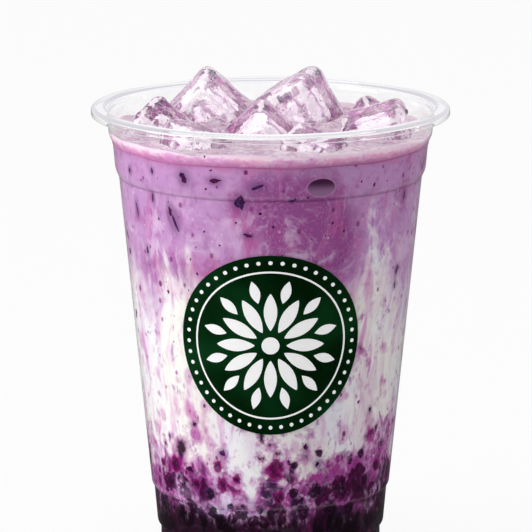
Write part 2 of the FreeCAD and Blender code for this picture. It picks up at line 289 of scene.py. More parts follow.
def joined(shapes):
    # several (points, faces) as one
    starts = np.cumsum([0] + [len(points) for points, _ in shapes])
    faces = [np.where(rows < 0, -1, rows + start) for (_, rows), start in zip(shapes, starts)]
    return np.concatenate([points for points, _ in shapes]), np.concatenate(faces)


def roundedLine(corners, step):
    # a line through (r, z) corners with an arc of the given radius at each; the tangent
    # length is radius / tan(half the angle), and runs are divided into steps
    arcStep = math.radians(9)
    corners = [(np.array(c[:2], float), c[2] if len(c) > 2 else 0.0) for c in corners]
    line = [corners[0][0]]
    for (before, _), (corner, radius), (after, _) in zip(corners, corners[1:], corners[2:]):
        if radius == 0:
            line.append(corner)
            continue
        u = (before - corner) / np.linalg.norm(before - corner)
        v = (after - corner) / np.linalg.norm(after - corner)
        half = math.acos(np.clip(u @ v, -1, 1)) / 2
        reach = radius / math.tan(half)
        centre = corner + (u + v) / np.linalg.norm(u + v) * radius / math.sin(half)
        first, last = corner + u * reach - centre, corner + v * reach - centre
        swing = math.acos(np.clip(first @ last / radius ** 2, -1, 1))
        steps = max(2, math.ceil(swing / arcStep))
        share = np.arange(steps + 1) / steps
        arc = (np.sin((1 - share) * swing)[:, None] * first
               + np.sin(share * swing)[:, None] * last) / math.sin(swing)
        line.extend(centre + arc)
    line.append(corners[-1][0])
    line = np.array(line)
    runs = np.linalg.norm(np.diff(line, axis=0), axis=1)
    shares = [np.linspace(0, 1, max(1, math.ceil(run / step)), endpoint=False) for run in runs]
    parts = [a + (b - a) * s[:, None] for a, b, s in zip(line, line[1:], shares)]
    return np.concatenate(parts + [line[-1:]])


# the cup's shape, from the same sizes as the solids, in mm
cup = {"height": 124.0, "wall": 0.5, "rimRadius": 49.0, "rimWidth": 4.3, "rimThickness": 1.0,
       "rimRound": 1.3, "lipDrop": 2.3, "lipThickness": 0.8, "throat": 1.5, "throatBend": 0.41,
       "neckDepth": 9.7, "neckStep": 1.05, "neckStepHeight": 2.2, "neckDraft": 0.09,
       "neckRound": 2.0, "shoulderDepth": 19.2, "shoulderStep": 1.0, "shoulderHeight": 2.2,
       "bandDraft": 0.09, "upperBandRound": 6.0, "upperBandTopRound": 1.5, "wallDraft": 0.1,
       "wallFootRound": 2.0, "lowerStep": 0.65, "lowerStepHeight": 1.0, "lowerBandHeight": 11.2,
       "lowerBandRound": 1.6, "footStep": 0.95, "footHeight": 6.7, "footWidth": 5.2,
       "footRound": 1.2, "pushUp": 3.2, "recessSlant": 2.7, "recessRound": 1.0,
       "segments": 256, "step": 1.6}


def cupLevels():
    # heights from the table up and outside radii from the rim down, as in the solids
    c = cup
    z = {"band": c["footHeight"] + c["footStep"], "bandTop": c["footHeight"] + c["lowerBandHeight"],
         "shoulder": c["height"] - c["shoulderDepth"], "neck": c["height"] - c["neckDepth"]}
    z["wall"] = z["bandTop"] + c["lowerStepHeight"]
    z["upper"] = z["shoulder"] + c["shoulderHeight"]
    z["bend"] = z["neck"] + c["neckStepHeight"]
    z["flare"] = c["height"] - c["throat"] - c["throatBend"] * c["wall"]
    r = {"neckTop": c["rimRadius"] - c["rimWidth"]}
    r["flare"] = r["neckTop"] + c["throat"] - c["rimThickness"] + c["throatBend"] * c["wall"]
    r["bend"] = r["neckTop"] - c["neckDraft"] * (z["flare"] - z["bend"])
    r["upperTop"] = r["bend"] - c["neckStep"]
    r["upper"] = r["upperTop"] - c["bandDraft"] * (z["neck"] - z["upper"])
    r["shoulder"] = r["upper"] - c["shoulderStep"]
    r["wall"] = r["shoulder"] - c["wallDraft"] * (z["shoulder"] - z["wall"])
    r["bandTop"] = r["wall"] - c["lowerStep"]
    r["band"] = r["bandTop"] - c["bandDraft"] * (z["bandTop"] - z["band"])
    r["foot"] = r["band"] - c["footStep"]
    r["ring"] = r["foot"] - c["footWidth"]
    r["recess"] = r["ring"] - c["recessSlant"]
    return r, z


def cupOutside():
    c, (r, z) = cup, cupLevels()
    top, under = c["height"], c["height"] - c["rimThickness"]
    inner = c["rimRadius"] - c["lipThickness"]
    return roundedLine([
        (0, c["pushUp"]), (r["recess"], c["pushUp"], c["recessRound"]), (r["ring"], 0, 0.5),
        (r["foot"], 0, c["footRound"]), (r["foot"], c["footHeight"], 0.3),
        (r["band"], z["band"], c["lowerBandRound"]), (r["bandTop"], z["bandTop"], 0.3),
        (r["wall"], z["wall"], c["wallFootRound"]), (r["shoulder"], z["shoulder"], 0.5),
        (r["upper"], z["upper"], c["upperBandRound"]),
        (r["upperTop"], z["neck"], c["upperBandTopRound"]), (r["bend"], z["bend"], c["neckRound"]),
        (r["neckTop"], z["flare"], 0.5), (r["flare"], under, 0.5), (inner, under, 0.3),
        (inner, top - c["lipDrop"], 0.15), (c["rimRadius"], top - c["lipDrop"], 0.3),
        (c["rimRadius"], top, c["rimRound"]), (r["neckTop"] - c["wall"] + c["throat"], top, 0.4),
        (r["neckTop"] - c["wall"], top - c["throat"])], c["step"])


def cupInside(grow=0.0):
    # the cavity's side from the middle of the base up to the throat, moved into the wall
    c, (r, z) = cup, cupLevels()
    thick, lift = c["wall"] - grow, c["wall"] / 3
    def behind(name, rounding=0.0):
        return (r[name] - thick, z[name] + lift, rounding)
    return roundedLine([
        (0, c["pushUp"] + thick), (r["recess"] + c["wall"] / 2, c["pushUp"] + thick),
        (r["ring"] + c["wall"] / 2, thick), (r["foot"] - thick, thick, 0.7),
        (r["foot"] - thick, c["footHeight"] + lift, 0.3), behind("band", 1.1),
        behind("bandTop", 0.3), behind("wall", 1.5), behind("shoulder", 0.5),
        behind("upper", 5.5), (r["upperTop"] - thick, z["neck"] + lift, 2.0),
        behind("bend", 1.5), (r["neckTop"] - thick, c["height"] - c["throat"])], c["step"])


# the two lines, and of each the part that has one radius for each height
cupRadii, cupHeights = cupLevels()
outsideLine = cupOutside()
insideLine = cupInside()
sideLine = insideLine[np.argmax(insideLine[:, 1] < 2 * cup["wall"]):]
sideLine = sideLine[sideLine[:, 0] > cupRadii["ring"] + 3]
outerLine = outsideLine[np.argmax(outsideLine[:, 0] > cupRadii["foot"] - 0.2):]
outerLine = outerLine[:np.argmax(outerLine[:, 1] > cupHeights["flare"])]


def cavityRadius(z):
    return np.interp(z, sideLine[:, 1], sideLine[:, 0])


def outerRadius(z):
    return np.interp(z, outerLine[:, 1], outerLine[:, 0])


# where the layers meet: level, height and length of the waves of each layer's floor
drink = {"drop": 7.4, "meniscus": 0.9, "meniscusWidth": 2.2, "reach": 0.2, "segments": 384,
         "layers": {"froth": (114.2, 0.35, 26.0), "ube": (68.0, 7.0, 38.0),
                    "milk": (21.0, 4.5, 21.0)},
         "wallRings": {"jam": 60, "milk": 100, "ube": 130, "froth": 10}, "discRings": 10,
         "lidRings": 80, "underFroth": 0.6, "sideDepth": 3.0}
surfaceHeight = cup["height"] - drink["drop"]


def wave(x, y, length):
    # three crossing plane waves, (sin a + sin b + 0.6 sin c) / 2.6, as in the solids
    k = 2 * math.pi / length
    first = np.sin(k * (0.94 * x + 0.34 * y) + 0.8)
    second = np.sin(k * (-0.42 * x + 0.91 * y) * 0.83 + 2.1)
    third = np.sin(k * (0.71 * x - 0.70 * y) * 1.31 + 4.4)
    return (first + second + 0.6 * third) / 2.6


def floorOf(layer, x, y):
    level, height, length = drink["layers"][layer]
    return level + height * wave(x, y, length)


def floorAtWall(layer, angles):
    # height z where the boundary meets the wall: z = floor(R(z) cos a, R(z) sin a), by
    # repeated substitution
    z = np.full(angles.shape, drink["layers"][layer][0])
    for _ in range(8):
        radius = cavityRadius(z)
        z = floorOf(layer, radius * np.cos(angles), radius * np.sin(angles))
    return z


# ice cubes: node, edge, x, y, height over the drink, turn, lean and roll, as in the solids
iceCubes = {
    "iceLeft": ("ice_left", 15.5, -31.0, 3.0, -1.9, -12, 38, 22),
    "iceBackLeft": ("ice_back_left", 19.0, -17.6, 20.5, 0.7, 6, 43, 18),
    "iceBackRight": ("ice_back_right", 19.5, 7.6, 21.5, 1.2, -6, 61, 14),
    "iceMiddle": ("ice_middle", 17.0, -2.6, -4.5, -2.6, 14, 44, 24),
    "iceRightBack": ("ice_right_back", 14.0, 28.2, 16.5, -2.2, 20, 30, 20),
    "iceRight": ("ice_right", 18.0, 29.6, -5.5, -1.9, -6, -17, 12),
    "iceFrontLeft": ("ice_front_left", 17.0, -20.5, -21.5, -3.2, 24, 14, 10),
    "iceFrontRight": ("ice_front_right", 16.0, 10.5, -26.0, -3.8, -16, 20, 12),
}
# shades, grey balls of painted shade: cube, share of the way to its tip, shift to the side, radius
ice = {"depthShare": 0.94, "round": 3.4, "taper": 3.0, "dimple": 0.5, "melt": 0.35, "grid": 40,
       "coreGrid": 30, "core": 0.5, "coreUneven": 0.07, "coreLift": -0.6, "veins": 0.92,
       "shadeGrid": 12, "shadeUneven": 0.25, "shadeDepth": 0.5,
       "shades": [("iceBackLeft", 0.68, 0.0, 1.7), ("iceBackRight", 0.7, 0.0, 1.7),
                  ("iceBackRight", 0.4, -6.0, 1.9), ("iceLeft", 0.62, 0.0, 1.3),
                  ("iceMiddle", 0.6, 0.0, 1.2), ("iceRightBack", 0.6, 0.0, 1.2),
                  ("iceRight", 0.6, 3.0, 1.2)]}


def turnAbout(axis, degrees):
    # rotation matrix about X, Y or Z, numbered 0 to 2
    first, second = (axis + 1) % 3, (axis + 2) % 3
    matrix = np.eye(3)
    matrix[first, first] = matrix[second, second] = math.cos(math.radians(degrees))
    matrix[second, first] = math.sin(math.radians(degrees))
    matrix[first, second] = -matrix[second, first]
    return matrix


def iceFrame(cube):
    # centre, axes and half sizes of the cube before it melts
    _, edge, x, y, up, turn, lean, roll = iceCubes[cube]
    axes = turnAbout(2, turn) @ turnAbout(1, lean) @ turnAbout(0, roll)
    half = np.array([edge, edge * ice["depthShare"], edge]) / 2
    return np.array([x, y, surfaceHeight + up]), axes, half


def iceDistance(cube, points):
    # distance to a box with rounded edges: |max(q, 0)| + min(max(q), 0) - r,
    # q = |p| - (half - r)
    centre, axes, half = iceFrame(cube)
    q = np.abs((points - centre) @ axes) - (half - ice["round"])
    return np.linalg.norm(np.maximum(q, 0), axis=-1) + np.minimum(q.max(-1), 0) - ice["round"]


# lamps: power, width, height, place
stage = {"cameraAway": 1.2, "cameraHeight": 0.329, "tiltDown": 11.765, "lens": 301.64,
         "shiftX": -0.00846, "skyFill": 0.47, "lampAim": (0, 0, 0.07), "floorHalf": 4,
         "lamps": {"keyLamp": (7.9, 0.7, 0.8, (-1.15, -0.42, 0.42)),
                   "rightLamp": (1.1, 0.25, 0.9, (1.1, -0.5, 0.3)),
                   "topLamp": (1.8, 0.6, 0.6, (-0.25, 0.2, 1.2)),
                   "stripLamp": (0.28, 0.05, 0.5, (1.07, 0.3, 0.12))}}


def makeSky():
    # white where it is seen; clear pieces see bright and dim bands by height, and gloss
    # reflects a room that is a little dimmer on the -Y side
    def pick(mask, off, on):
        # off + (on - off) * mask
        return put(tree, "ShaderNodeMix", {0: mask, 2: off, 3: on}, data_type="FLOAT")
    world = bpy.data.worlds.new("studioSky")
    bpy.context.scene.world = world
    world.use_nodes = True
    tree = world.node_tree
    tree.nodes.clear()
    path = put(tree, "ShaderNodeLightPath")
    _, y, z = split(put(tree, "ShaderNodeTexCoord")["Generated"])
    fill = fade(z, -0.2, 0.9, 0.75 * stage["skyFill"], stage["skyFill"])
    through = fade(z, 0.08, 0.26, 1.0, 0.78) + fade(z, 0.42, 0.5, 0.0, 0.45)
    through = through - fade(z, 0.7, 0.85, 0.0, 0.5)
    light = pick(path["Is Glossy Ray"], fill, fade(y, -0.5, 0.75, 0.7, 0.95))
    light = pick(path["Is Transmission Ray"], light, through)
    light = pick(path["Is Camera Ray"], light, 1.0)
    clear = larger(path["Is Transmission Ray"], path["Is Glossy Ray"])
    colour = blend(clear, (1, 1, 1, 1), (0.975, 0.96, 1.0, 1))
    sky = put(tree, "ShaderNodeBackground", {"Color": colour, "Strength": light})
    put(tree, "ShaderNodeOutputWorld", {"Surface": sky})


def makeFloor():
    # a pale floor that shows nearly white and keeps the cup's shadow; gloss sees it dark in
    # front of the cup and a little less dark behind it
    material, place = newMaterial("paleFloor")
    tree = material.node_tree
    path = put(tree, "ShaderNodeLightPath")
    colour = blend(cloud(place, 40.0), tint(246, 246, 247), tint(250, 250, 251))
    matt = put(tree, "ShaderNodeBsdfDiffuse", {"Color": colour})
    white = {"Color": (1, 1, 1, 1)}
    bright = put(tree, "ShaderNodeEmission", {**white, "Strength": 1.0})
    strength = fade(split(place)[1], 0.0, 0.3, 0.06, 0.25)
    dim = put(tree, "ShaderNodeEmission", {**white, "Strength": strength})
    seen = larger(path["Is Camera Ray"], path["Is Transmission Ray"]) * 0.93
    surface(material, mixShader(seen, mixShader(path["Is Glossy Ray"], matt, dim), bright))
    mesh = bpy.data.meshes.new("floor")
    far = stage["floorHalf"]
    corners = [(-far, -far, 0), (far, -far, 0), (far, far, 0), (-far, far, 0)]
    mesh.from_pydata(corners, [], [(0, 1, 2, 3)])
    mesh.materials.append(material)
    floor = bpy.data.objects.new("floor", mesh)
    bpy.context.scene.collection.objects.link(floor)


def makeLamp(name, power, width, height, place):
    lamp = bpy.data.lights.new(name, "AREA")
    lamp.shape = "RECTANGLE"
    lamp.size, lamp.size_y, lamp.energy = width, height, power
    body = bpy.data.objects.new(name, lamp)
    bpy.context.scene.collection.objects.link(body)
    body.location = place
    aim = Vector(stage["lampAim"]) - Vector(place)
    body.rotation_euler = aim.to_track_quat("-Z", "Y").to_euler()


def makeStage():
    makeSky()
    makeFloor()
    for name, lamp in stage["lamps"].items():
        makeLamp(name, *lamp)
    lens = bpy.data.cameras.new("camera")
    lens.lens, lens.sensor_width, lens.shift_x = stage["lens"], 36.0, stage["shiftX"]
    camera = bpy.data.objects.new("camera", lens)
    bpy.context.scene.collection.objects.link(camera)
    camera.location = (0, -stage["cameraAway"], stage["cameraHeight"])
    camera.rotation_euler = (math.radians(90 - stage["tiltDown"]), 0, 0)
    bpy.context.scene.camera = camera
    bpy.context.scene.view_settings.view_transform = "Standard"
    print("stage ready")


def clearMaterial(name, colour, rough, ior, rippleHeight, rippleScale):
    # glass that lets lamp light through to what it holds; light that stays caught between its
    # faces ends as a pale glow and not as a dark line
    material, place = newMaterial(name)
    tree = material.node_tree
    ripple = relief(cloud(place, rippleScale, 1.0, up=0.25), 0.5, rippleHeight)
    shine = put(tree, "ShaderNodeBsdfPrincipled",
                {"Base Color": colour, "Roughness": rough, "IOR": ior,
                 "Transmission Weight": 1.0, "Normal": ripple})
    through = put(tree, "ShaderNodeBsdfTransparent", {"Color": (0.97, 0.97, 0.98, 1)})
    glow = put(tree, "ShaderNodeEmission", {"Color": (0.84, 0.82, 0.88, 1), "Strength": 0.8})
    path = put(tree, "ShaderNodeLightPath")
    caught = calc("GREATER_THAN", path["Glossy Depth"], 2.5)
    clear = mixShader(path["Is Shadow Ray"], shine, through)
    return surface(material, mixShader(caught, clear, glow))


def makeCup():
    plastic = clearMaterial("clearCupPlastic", (1.0, 1.0, 1.0, 1), 0.02, 1.5, 0.00006, 60.0)
    line = np.concatenate([outsideLine, insideLine[::-1]])
    keep = np.concatenate([[True], np.linalg.norm(np.diff(line, axis=0), axis=1) > 1e-4])
    line = line[keep]
    points, faces = closedTurn(turned(line[1:-1], cup["segments"]))
    points[-2:] = [(0, 0, line[0, 1]), (0, 0, line[-1, 1])]
    makePiece("cupShell", points, faces, plastic, "clear_plastic", ["cup"])
    print("cup ready,", len(faces), "faces")


def jamGroup():
    # jam over a given colour: soft stains, then two sizes of dark clumps that fill in with
    # depth, share + a random share for the cell - distance from its middle, then veins
    group, given = newGroup("jamClumps", {"Under": "Color", "Flow": "Vector", "Fill": "Float"},
                            {"Color": "Color"})
    flow, fill = given["Flow"], given["Fill"]
    grain = cloud(flow, 0.75, 3.0, 0.6, 0.8)
    puffs = cloud(flow, 0.12, 4.0, 0.55, 1.2, up=0.7)
    depth = fill + (puffs - 0.5) * 3.0 + (grain - 0.5) * 0.7
    colour = wash(given["Under"], (depth, 0.05, 0.4, 0.0, 0.5, 198, 126, 192),
                  (depth, 0.35, 0.7, 0.0, 0.92, 170, 34, 140),
                  (depth, 0.85, 1.3, 0.0, 0.95, 46, 3, 36))
    # swirls: thin lines where |noise - 0.5| is small, pale ones and dark ones
    for shift, shade in (((0, 0, 0), (232, 196, 230)), ((40, 9, 0), (66, 8, 56))):
        curls = cloud(flow + shift, 0.13, 1.0, 0.5, 1.4)
        lines = fade(abs(curls - 0.5), 0.11, 0.0, 0.0, 0.65) * fade(depth, 0.1, 0.6)
        colour = wash(colour, (lines, *shade))
    place = stir(flow * (1.0, 1.0, 0.9), cloud(flow, 0.3, 4.0, 0.6), 6.0)
    for scale, share, low in ((0.33, 0.54, 0.05), (0.16, 0.74, 0.0)):
        clumps = cells(place, scale, "SMOOTH_F1", Smoothness=0.4)
        far = clumps["Distance"]
        size, kind, _ = split(clumps["Color"])
        body = fill * share + (size - 0.5) * 1.1 - far * 1.05 + (grain - 0.5) * 0.3
        tone = wash(tint(58, 32, 70), (kind, 0.3, 0.45, 64, 6, 52),
                    (far, 0.4, 0.1, 0.0, 0.8, 22, 4, 26), (grain, 0.56, 0.7, 0.0, 0.6, 128, 28, 104))
        colour = wash(colour, (body, low - 0.35, low, 0.0, 0.52, 182, 86, 168))
        colour = blend(fade(body, low, low + 0.35, 0.0, 0.95), colour, tone)
    veins = fade(cells(place, 0.17, "DISTANCE_TO_EDGE"), 0.2, 0.03)
    veins = veins * fade(cloud(flow, 0.08, 3.0), 0.44, 0.58, 0.0, 0.95)
    veins = veins * fade(fill + (grain - 0.5) * 0.8, 0.3, 0.7)
    veinTone = wash(tint(176, 70, 152), (grain, 0.4, 0.55, 218, 186, 224))
    put(group, "NodeGroupOutput", {"Color": blend(veins, colour, veinTone)})
    return group


# Shade carries painted shade, Film a painted highlight above each ledge, and Pocket the air pocket
# with its painted shading
maskNames = ("Plume", "Deep", "Halo", "Shade", "Rose", "Film", "Pocket", "Gap", "Berry", "Tone")


def drinkNoise(given):
    # side and height in mm, the place as it is and stirred, and the noises made from it; x
    # and y are spread by 37500 / (37.5 + 0.1 (z - 65)), so that streaks lean with the wall
    x, y, z = split(given["Place"])
    height = z * 1000.0
    widen = 37500.0 / ((height - 65.0) * 0.1 + 37.5)
    still = combine(x * widen, y * widen, height)
    flow = stir(still, cloud(still, 0.07, 2.0, up=0.45), 12.0)
    flow = stir(flow, cloud(flow, 0.22, 2.0, up=0.6), 3.0)
    return SimpleNamespace(
        side=x * 1000.0, height=height, still=still,
        streaks=cloud(flow, 0.17, 3.0, 0.45, up=0.2), wisps=cloud(flow, 0.42, up=0.26),
        blots=cloud(flow, 0.5, 2.0, up=0.5), broad=cloud(flow, 0.06, up=0.5),
        mottle=cloud(flow, 1.3, 3.0, 0.6), thin=cloud(flow, 0.3, 2.0, 0.4, up=0.12),
        puffs=cloud(flow, 0.15, 5.0, 0.62, 1.0, up=0.65), pulp=cloud(still, 0.9, 4.0, 0.65, 0.8))


def yamColour(given, n):
    # lilac, deeper where the mask says
    deep = given["Deep"] + (n.broad - 0.52) + (n.wisps - 0.5) * 0.5
    pale = fade(n.puffs, 0.5, 0.68) * fade(n.height, 114.0, 96.0, 0.1, 0.75)
    return wash(tint(202, 158, 204), (deep, 0.1, 0.9, 164, 90, 156),
                (n.thin, 0.56, 0.72, 0.0, 0.55, 200, 118, 178),
                (n.blots, 0.56, 0.74, 0.0, 0.4, 216, 178, 216),
                (n.blots, 0.44, 0.3, 0.0, 0.35, 150, 98, 160),
                (n.mottle, 0.5, 0.72, 0.0, 0.4, 222, 182, 218), (pale, 226, 200, 226),
                (n.puffs, 0.42, 0.3, 0.0, 0.5, 178, 92, 156))


def milkColour(n):
    # white with soft lilac and pink streaks, more of them on the +X side
    stained = fade(n.side, 12.0, 36.0) * fade(n.streaks, 0.46, 0.62, 0.0, 0.5)
    return wash(tint(241, 242, 245), (n.broad, 0.4, 0.62, 243, 243, 237),
                (n.wisps, 0.52, 0.78, 0.0, 0.7, 220, 176, 216),
                (n.thin, 0.54, 0.74, 0.0, 0.85, 216, 142, 200),
                (n.blots, 0.58, 0.74, 0.0, 0.75, 176, 116, 180),
                (n.mottle, 0.56, 0.72, 0.0, 0.14, 218, 178, 212), (stained, 204, 156, 196))


def addDots(colour, given, n):
    # roses, the froth's pink, which runs down into the top in an uneven edge, seeds with a
    # pink halo, and dark and light dots
    rose = given["Rose"] * fade(n.blots, 0.35, 0.6, 0.35, 1.0)
    blush = fade(n.height + (n.blots - 0.5) * 5.0 + (n.broad - 0.5) * 6.0, 112.4, 114.4)
    blush = blush * fade(n.side, -38.0, -12.0, 0.3, 0.9)
    seedPlace = n.still * (1.0, 1.0, 0.75) + (3.0, 9.0, 1.0)
    seedHalos = dots(seedPlace, 0.16, 0.32, 0.6) * fade(n.height, 90.0, 60.0, 0.15, 0.5)
    seeds = dots(seedPlace, 0.16, 0.11, 0.6) * 0.9
    specks = dots(n.still * (1.0, 1.0, 0.7), 0.28, 0.15, 0.6) * 0.75
    bubbles = dots(n.still + (7.0, 3.0, 5.0), 0.42, 0.13, 0.16) * 0.55
    return wash(colour, (rose, 0.0, 1.0, 0.0, 0.75, 190, 86, 156), (blush, 208, 138, 188),
                (seedHalos, 206, 132, 190), (seeds, 112, 34, 104), (specks, 134, 50, 118),
                (bubbles, 246, 226, 242))


def addJam(colour, given, n, group, jam):
    # jam from below, higher on the +X side, with lilac milk in the low gaps
    lumps = cloud(n.still, 0.055, 2.0, up=0.7)
    fill = fade(n.height, 50.0, 18.0, -0.6, 1.0) + fade(n.side, -28.0, 30.0, -0.2, 0.15)
    fill = fill + (lumps - 0.5) * 1.8 - given["Gap"]
    colour = put(group, "ShaderNodeGroup", {"Under": colour, "Flow": n.still, "Fill": fill},
                 node_tree=jam)
    lilac = capped(given["Gap"], fade(n.height, 24.0, 19.0, 0.0, 0.7))
    return wash(colour, (lilac, 200, 168, 214))


def addFruit(colour, given, n):
    # a magenta stain round a body that is darkest in its middle
    ragged = cloud(n.still, 0.25, 2.0, 0.5, 1.2)
    body = given["Berry"] - 1.0 + (n.pulp - 0.5) * 0.6 + (ragged - 0.5) * 2.6
    tone = wash(tint(62, 42, 80), (given["Tone"], 0.0, 0.5, 52, 6, 44),
                (given["Tone"], 0.5, 1.0, 150, 26, 116), (body, 0.35, 0.9, 0.0, 0.85, 18, 3, 20),
                (n.pulp, 0.55, 0.68, 0.0, 0.5, 160, 84, 158))
    around = fade(body, -1.0, 0.3) * fade(n.height, 18.0, 30.0, 0.0, 0.8)
    colour = wash(colour, (around * fade(n.puffs, 0.4, 0.6, 0.2, 1.0), 170, 46, 142))
    return blend(fade(body, -0.1, 0.35, 0.0, 0.95), colour, tone)


def addSyrup(colour, given, n):
    # dark syrup at the bottom, spared in the gaps
    syrup = fade(n.height + n.broad * 12.0, 26.0, 20.0) * fade(n.blots, 0.66, 0.52, 0.6, 0.95)
    syrup = larger(syrup, fade(n.height, 16.0, 12.0, 0.0, 0.95))
    spared = given["Gap"] * fade(n.height, 11.0, 15.0, 0.0, 1.4)
    spared = capped(spared, fade(n.puffs, 0.36, 0.5, 0.25, 1.0))
    deepest = wash(tint(14, 2, 11), (n.streaks, 0.54, 0.68, 0.0, 0.6, 112, 24, 90))
    colour = blend(capped(syrup, 1.0 - spared), colour, deepest)
    # magenta threads in it, mostly in the gaps and on the -X side
    shifted = stir(n.still, cloud(n.still, 0.3, 2.0), 5.0)
    threads = fade(cells(shifted, 0.2, "DISTANCE_TO_EDGE"), 0.12, 0.02, 0.0, 0.9)
    reach = larger(fade(n.broad, 0.56, 0.68, 0.0, 0.4), given["Gap"])
    reach = reach * fade(n.side, -2.0, 16.0, 1.0, 0.3) * fade(n.height, 11.0, 15.0)
    reach = capped(reach, fade(n.height, 22.0, 18.0))
    threadTone = wash(tint(170, 60, 148), (n.pulp, 0.42, 0.6, 204, 170, 214))
    return blend(threads * reach, colour, threadTone)


def addStainsAndPaintedLight(colour, given, n):
    # soft stains round the flakes, placed painted shade, the painted highlight above the ledges,
    # and the air pocket in painted shading: dark above, paler below, with a thin pale edge of painted
    # highlight
    film = given["Film"] * fade(n.blots, 0.35, 0.6, 0.4, 1.0)
    hollow = given["Pocket"] - 1.0
    colour = wash(colour, (given["Halo"], 0.05, 0.9, 0.0, 0.6, 128, 74, 136),
                  (given["Shade"], 0.0, 1.2, 40, 12, 40), (film, 226, 196, 222),
                  (hollow, -0.3, -0.04, 0.0, 0.4, 206, 164, 204))
    inside = wash(tint(160, 116, 158), (n.height, 107.2, 110.2, 74, 32, 68))
    return blend(fade(hollow, -0.02, 0.2), colour, inside)


def marbleGroup(jam):
    # colour of the drink by height: jam, then milk with lilac streaks, then lilac yam milk;
    # each border is broken up by upright noise and by the placed masks
    group, given = newGroup("marbledDrink",
                            {"Place": "Vector", **{name: "Float" for name in maskNames}},
                            {"Color": "Color", "Height": "Float"})
    n = drinkNoise(given)
    share = fade(n.height, 97.0, 60.0) + (n.streaks - 0.5) * 1.5 + (n.wisps - 0.5) * 0.7
    share = share + given["Plume"] * fade(n.blots, 0.3, 0.6, 0.35, 1.0) - given["Deep"] * 0.3
    colour = blend(fade(share, 0.22, 0.92), yamColour(given, n), milkColour(n))
    colour = addDots(colour, given, n)
    colour = addJam(colour, given, n, group, jam)
    for add in (addFruit, addSyrup, addStainsAndPaintedLight):
        colour = add(colour, given, n)
    put(group, "NodeGroupOutput", {"Color": colour, "Height": n.mottle + n.wisps})
    return group


def drinkMaterial():
    material, place = newMaterial("layeredDrink")
    feeds = {name: put(place.tree, "ShaderNodeAttribute", attribute_name=name.lower())["Fac"]
             for name in maskNames}
    marble = put(place.tree, "ShaderNodeGroup", {"Place": place, **feeds},
                 node_tree=marbleGroup(jamGroup()))
    return paint(material, marble["Color"], 0.5, 0.0, IOR=1.35,
                 Normal=relief(marble["Height"], 0.1, 0.0004))


# masks on the drink's side: (degrees from the front, + to the right; height; half width along
# the wall; half height; strength; and, where it leans, mm sideways for each mm down); gaps are
# where milk shows through the jam
spots = {
    "plume": [(41, 99, 1.8, 6, 0.5), (43, 90, 2.6, 12, 0.7, -0.05), (46, 78, 5, 14, 0.6, -0.05),
              (53, 87, 2.0, 6, 0.7), (62, 80, 1.6, 16, 0.5), (18, 91, 3.6, 4.5, 0.45, 0.4),
              (-42, 92, 1.6, 9, 0.5, -0.1), (-46, 84, 1.3, 14, 0.4, -0.1), (-40, 78, 2.4, 8, 0.4),
              (-25, 92, 4.0, 3.6, 0.6, 0.3), (-57, 84, 1.0, 14, 0.45), (-50, 89, 1.5, 12, 0.6, -0.05),
              (-34, 87, 1.2, 8, 0.5), (-64, 93, 1.0, 12, 0.5), (-70, 78, 1.6, 16, 0.3),
              (100, 88, 4, 14, 0.7, 0.1), (128, 80, 3, 18, 0.7), (165, 85, 5, 16, 0.6, 0.1),
              (-110, 86, 3, 16, 0.7), (-145, 80, 5, 18, 0.6, -0.1)],
    "deep": [(2, 105, 11, 10, 0.8), (20, 106, 9, 10, 0.75), (12, 92, 15, 10, 0.85, 0.1),
             (28, 92, 5, 12, 0.4), (-44, 83, 14, 7, 0.5), (60, 104, 5, 10, 0.55),
             (-15, 103, 4, 5, 0.3), (140, 104, 12, 14, 0.8), (-140, 100, 14, 12, 0.6)],
    "rose": [(-14, 106, 2.2, 1.8, 0.9), (-13, 101.5, 1.2, 4.5, 0.9, -0.1),
             (-7.5, 93, 2.2, 4.5, 0.9, 0.1), (-10, 98.5, 1.5, 3, 0.5), (26, 97, 2.4, 4.5, 0.7),
             (2, 96, 2.5, 3, 0.5), (-26, 86, 4.0, 4, 0.8, 0.1), (-34, 80, 1.6, 9, 0.6, -0.1),
             (-30, 43, 1.4, 7, 0.7, 0.1), (-36, 41, 2.2, 4, 0.9, 0.1), (35, 78, 1.6, 10, 0.5),
             (64, 70, 1.2, 20, 0.5), (56, 55, 1.4, 12, 0.6, 0.1), (120, 98, 3, 5, 0.7, 0.1),
             (170, 95, 2.5, 8, 0.7), (-115, 94, 3, 6, 0.7, 0.1), (-160, 88, 2, 10, 0.7)],
    "shade": [(18.6, 113, 5, 1.2, 0.15), (-8, 21.4, 12, 0.6, 0.25)],
    "gap": [(-9, 24, 2.6, 3.2, 0.95), (-12, 16.8, 7.5, 1.7, 1.0), (-22, 21, 1.8, 3.0, 0.8),
            (-40, 31, 2.4, 2.6, 0.9), (-29, 33, 3.4, 2.6, 0.9), (-15, 34, 4.0, 3.0, 0.9),
            (-6, 29, 2.2, 3.4, 1.0), (17, 29, 3.0, 3.2, 1.0), (28, 35, 4.0, 2.4, 0.8),
            (-10, 19.5, 2.4, 1.6, 0.5), (-44, 22, 2.2, 2.2, 0.7), (44, 34, 3.4, 2.2, 0.7),
            (-28, 18, 4.0, 1.2, 0.7), (6, 26, 1.4, 1.2, 0.8)]}
# at each ledge of the wall a dark line of painted shade and, above it, a pale line of painted
# highlight: ledge, height of the shade line over it, strength of the highlight
ledges = {"rows": (("shoulder", 0.3, 0.26), ("bandTop", -0.2, 0.14)), "dark": 0.5,
          "darkWidth": 0.4, "filmAbove": 1.0, "filmWidth": 0.28}
pocket = {"angle": 18.6, "height": 108.7, "wide": 4.0, "tall": 2.5, "depth": 0.14}

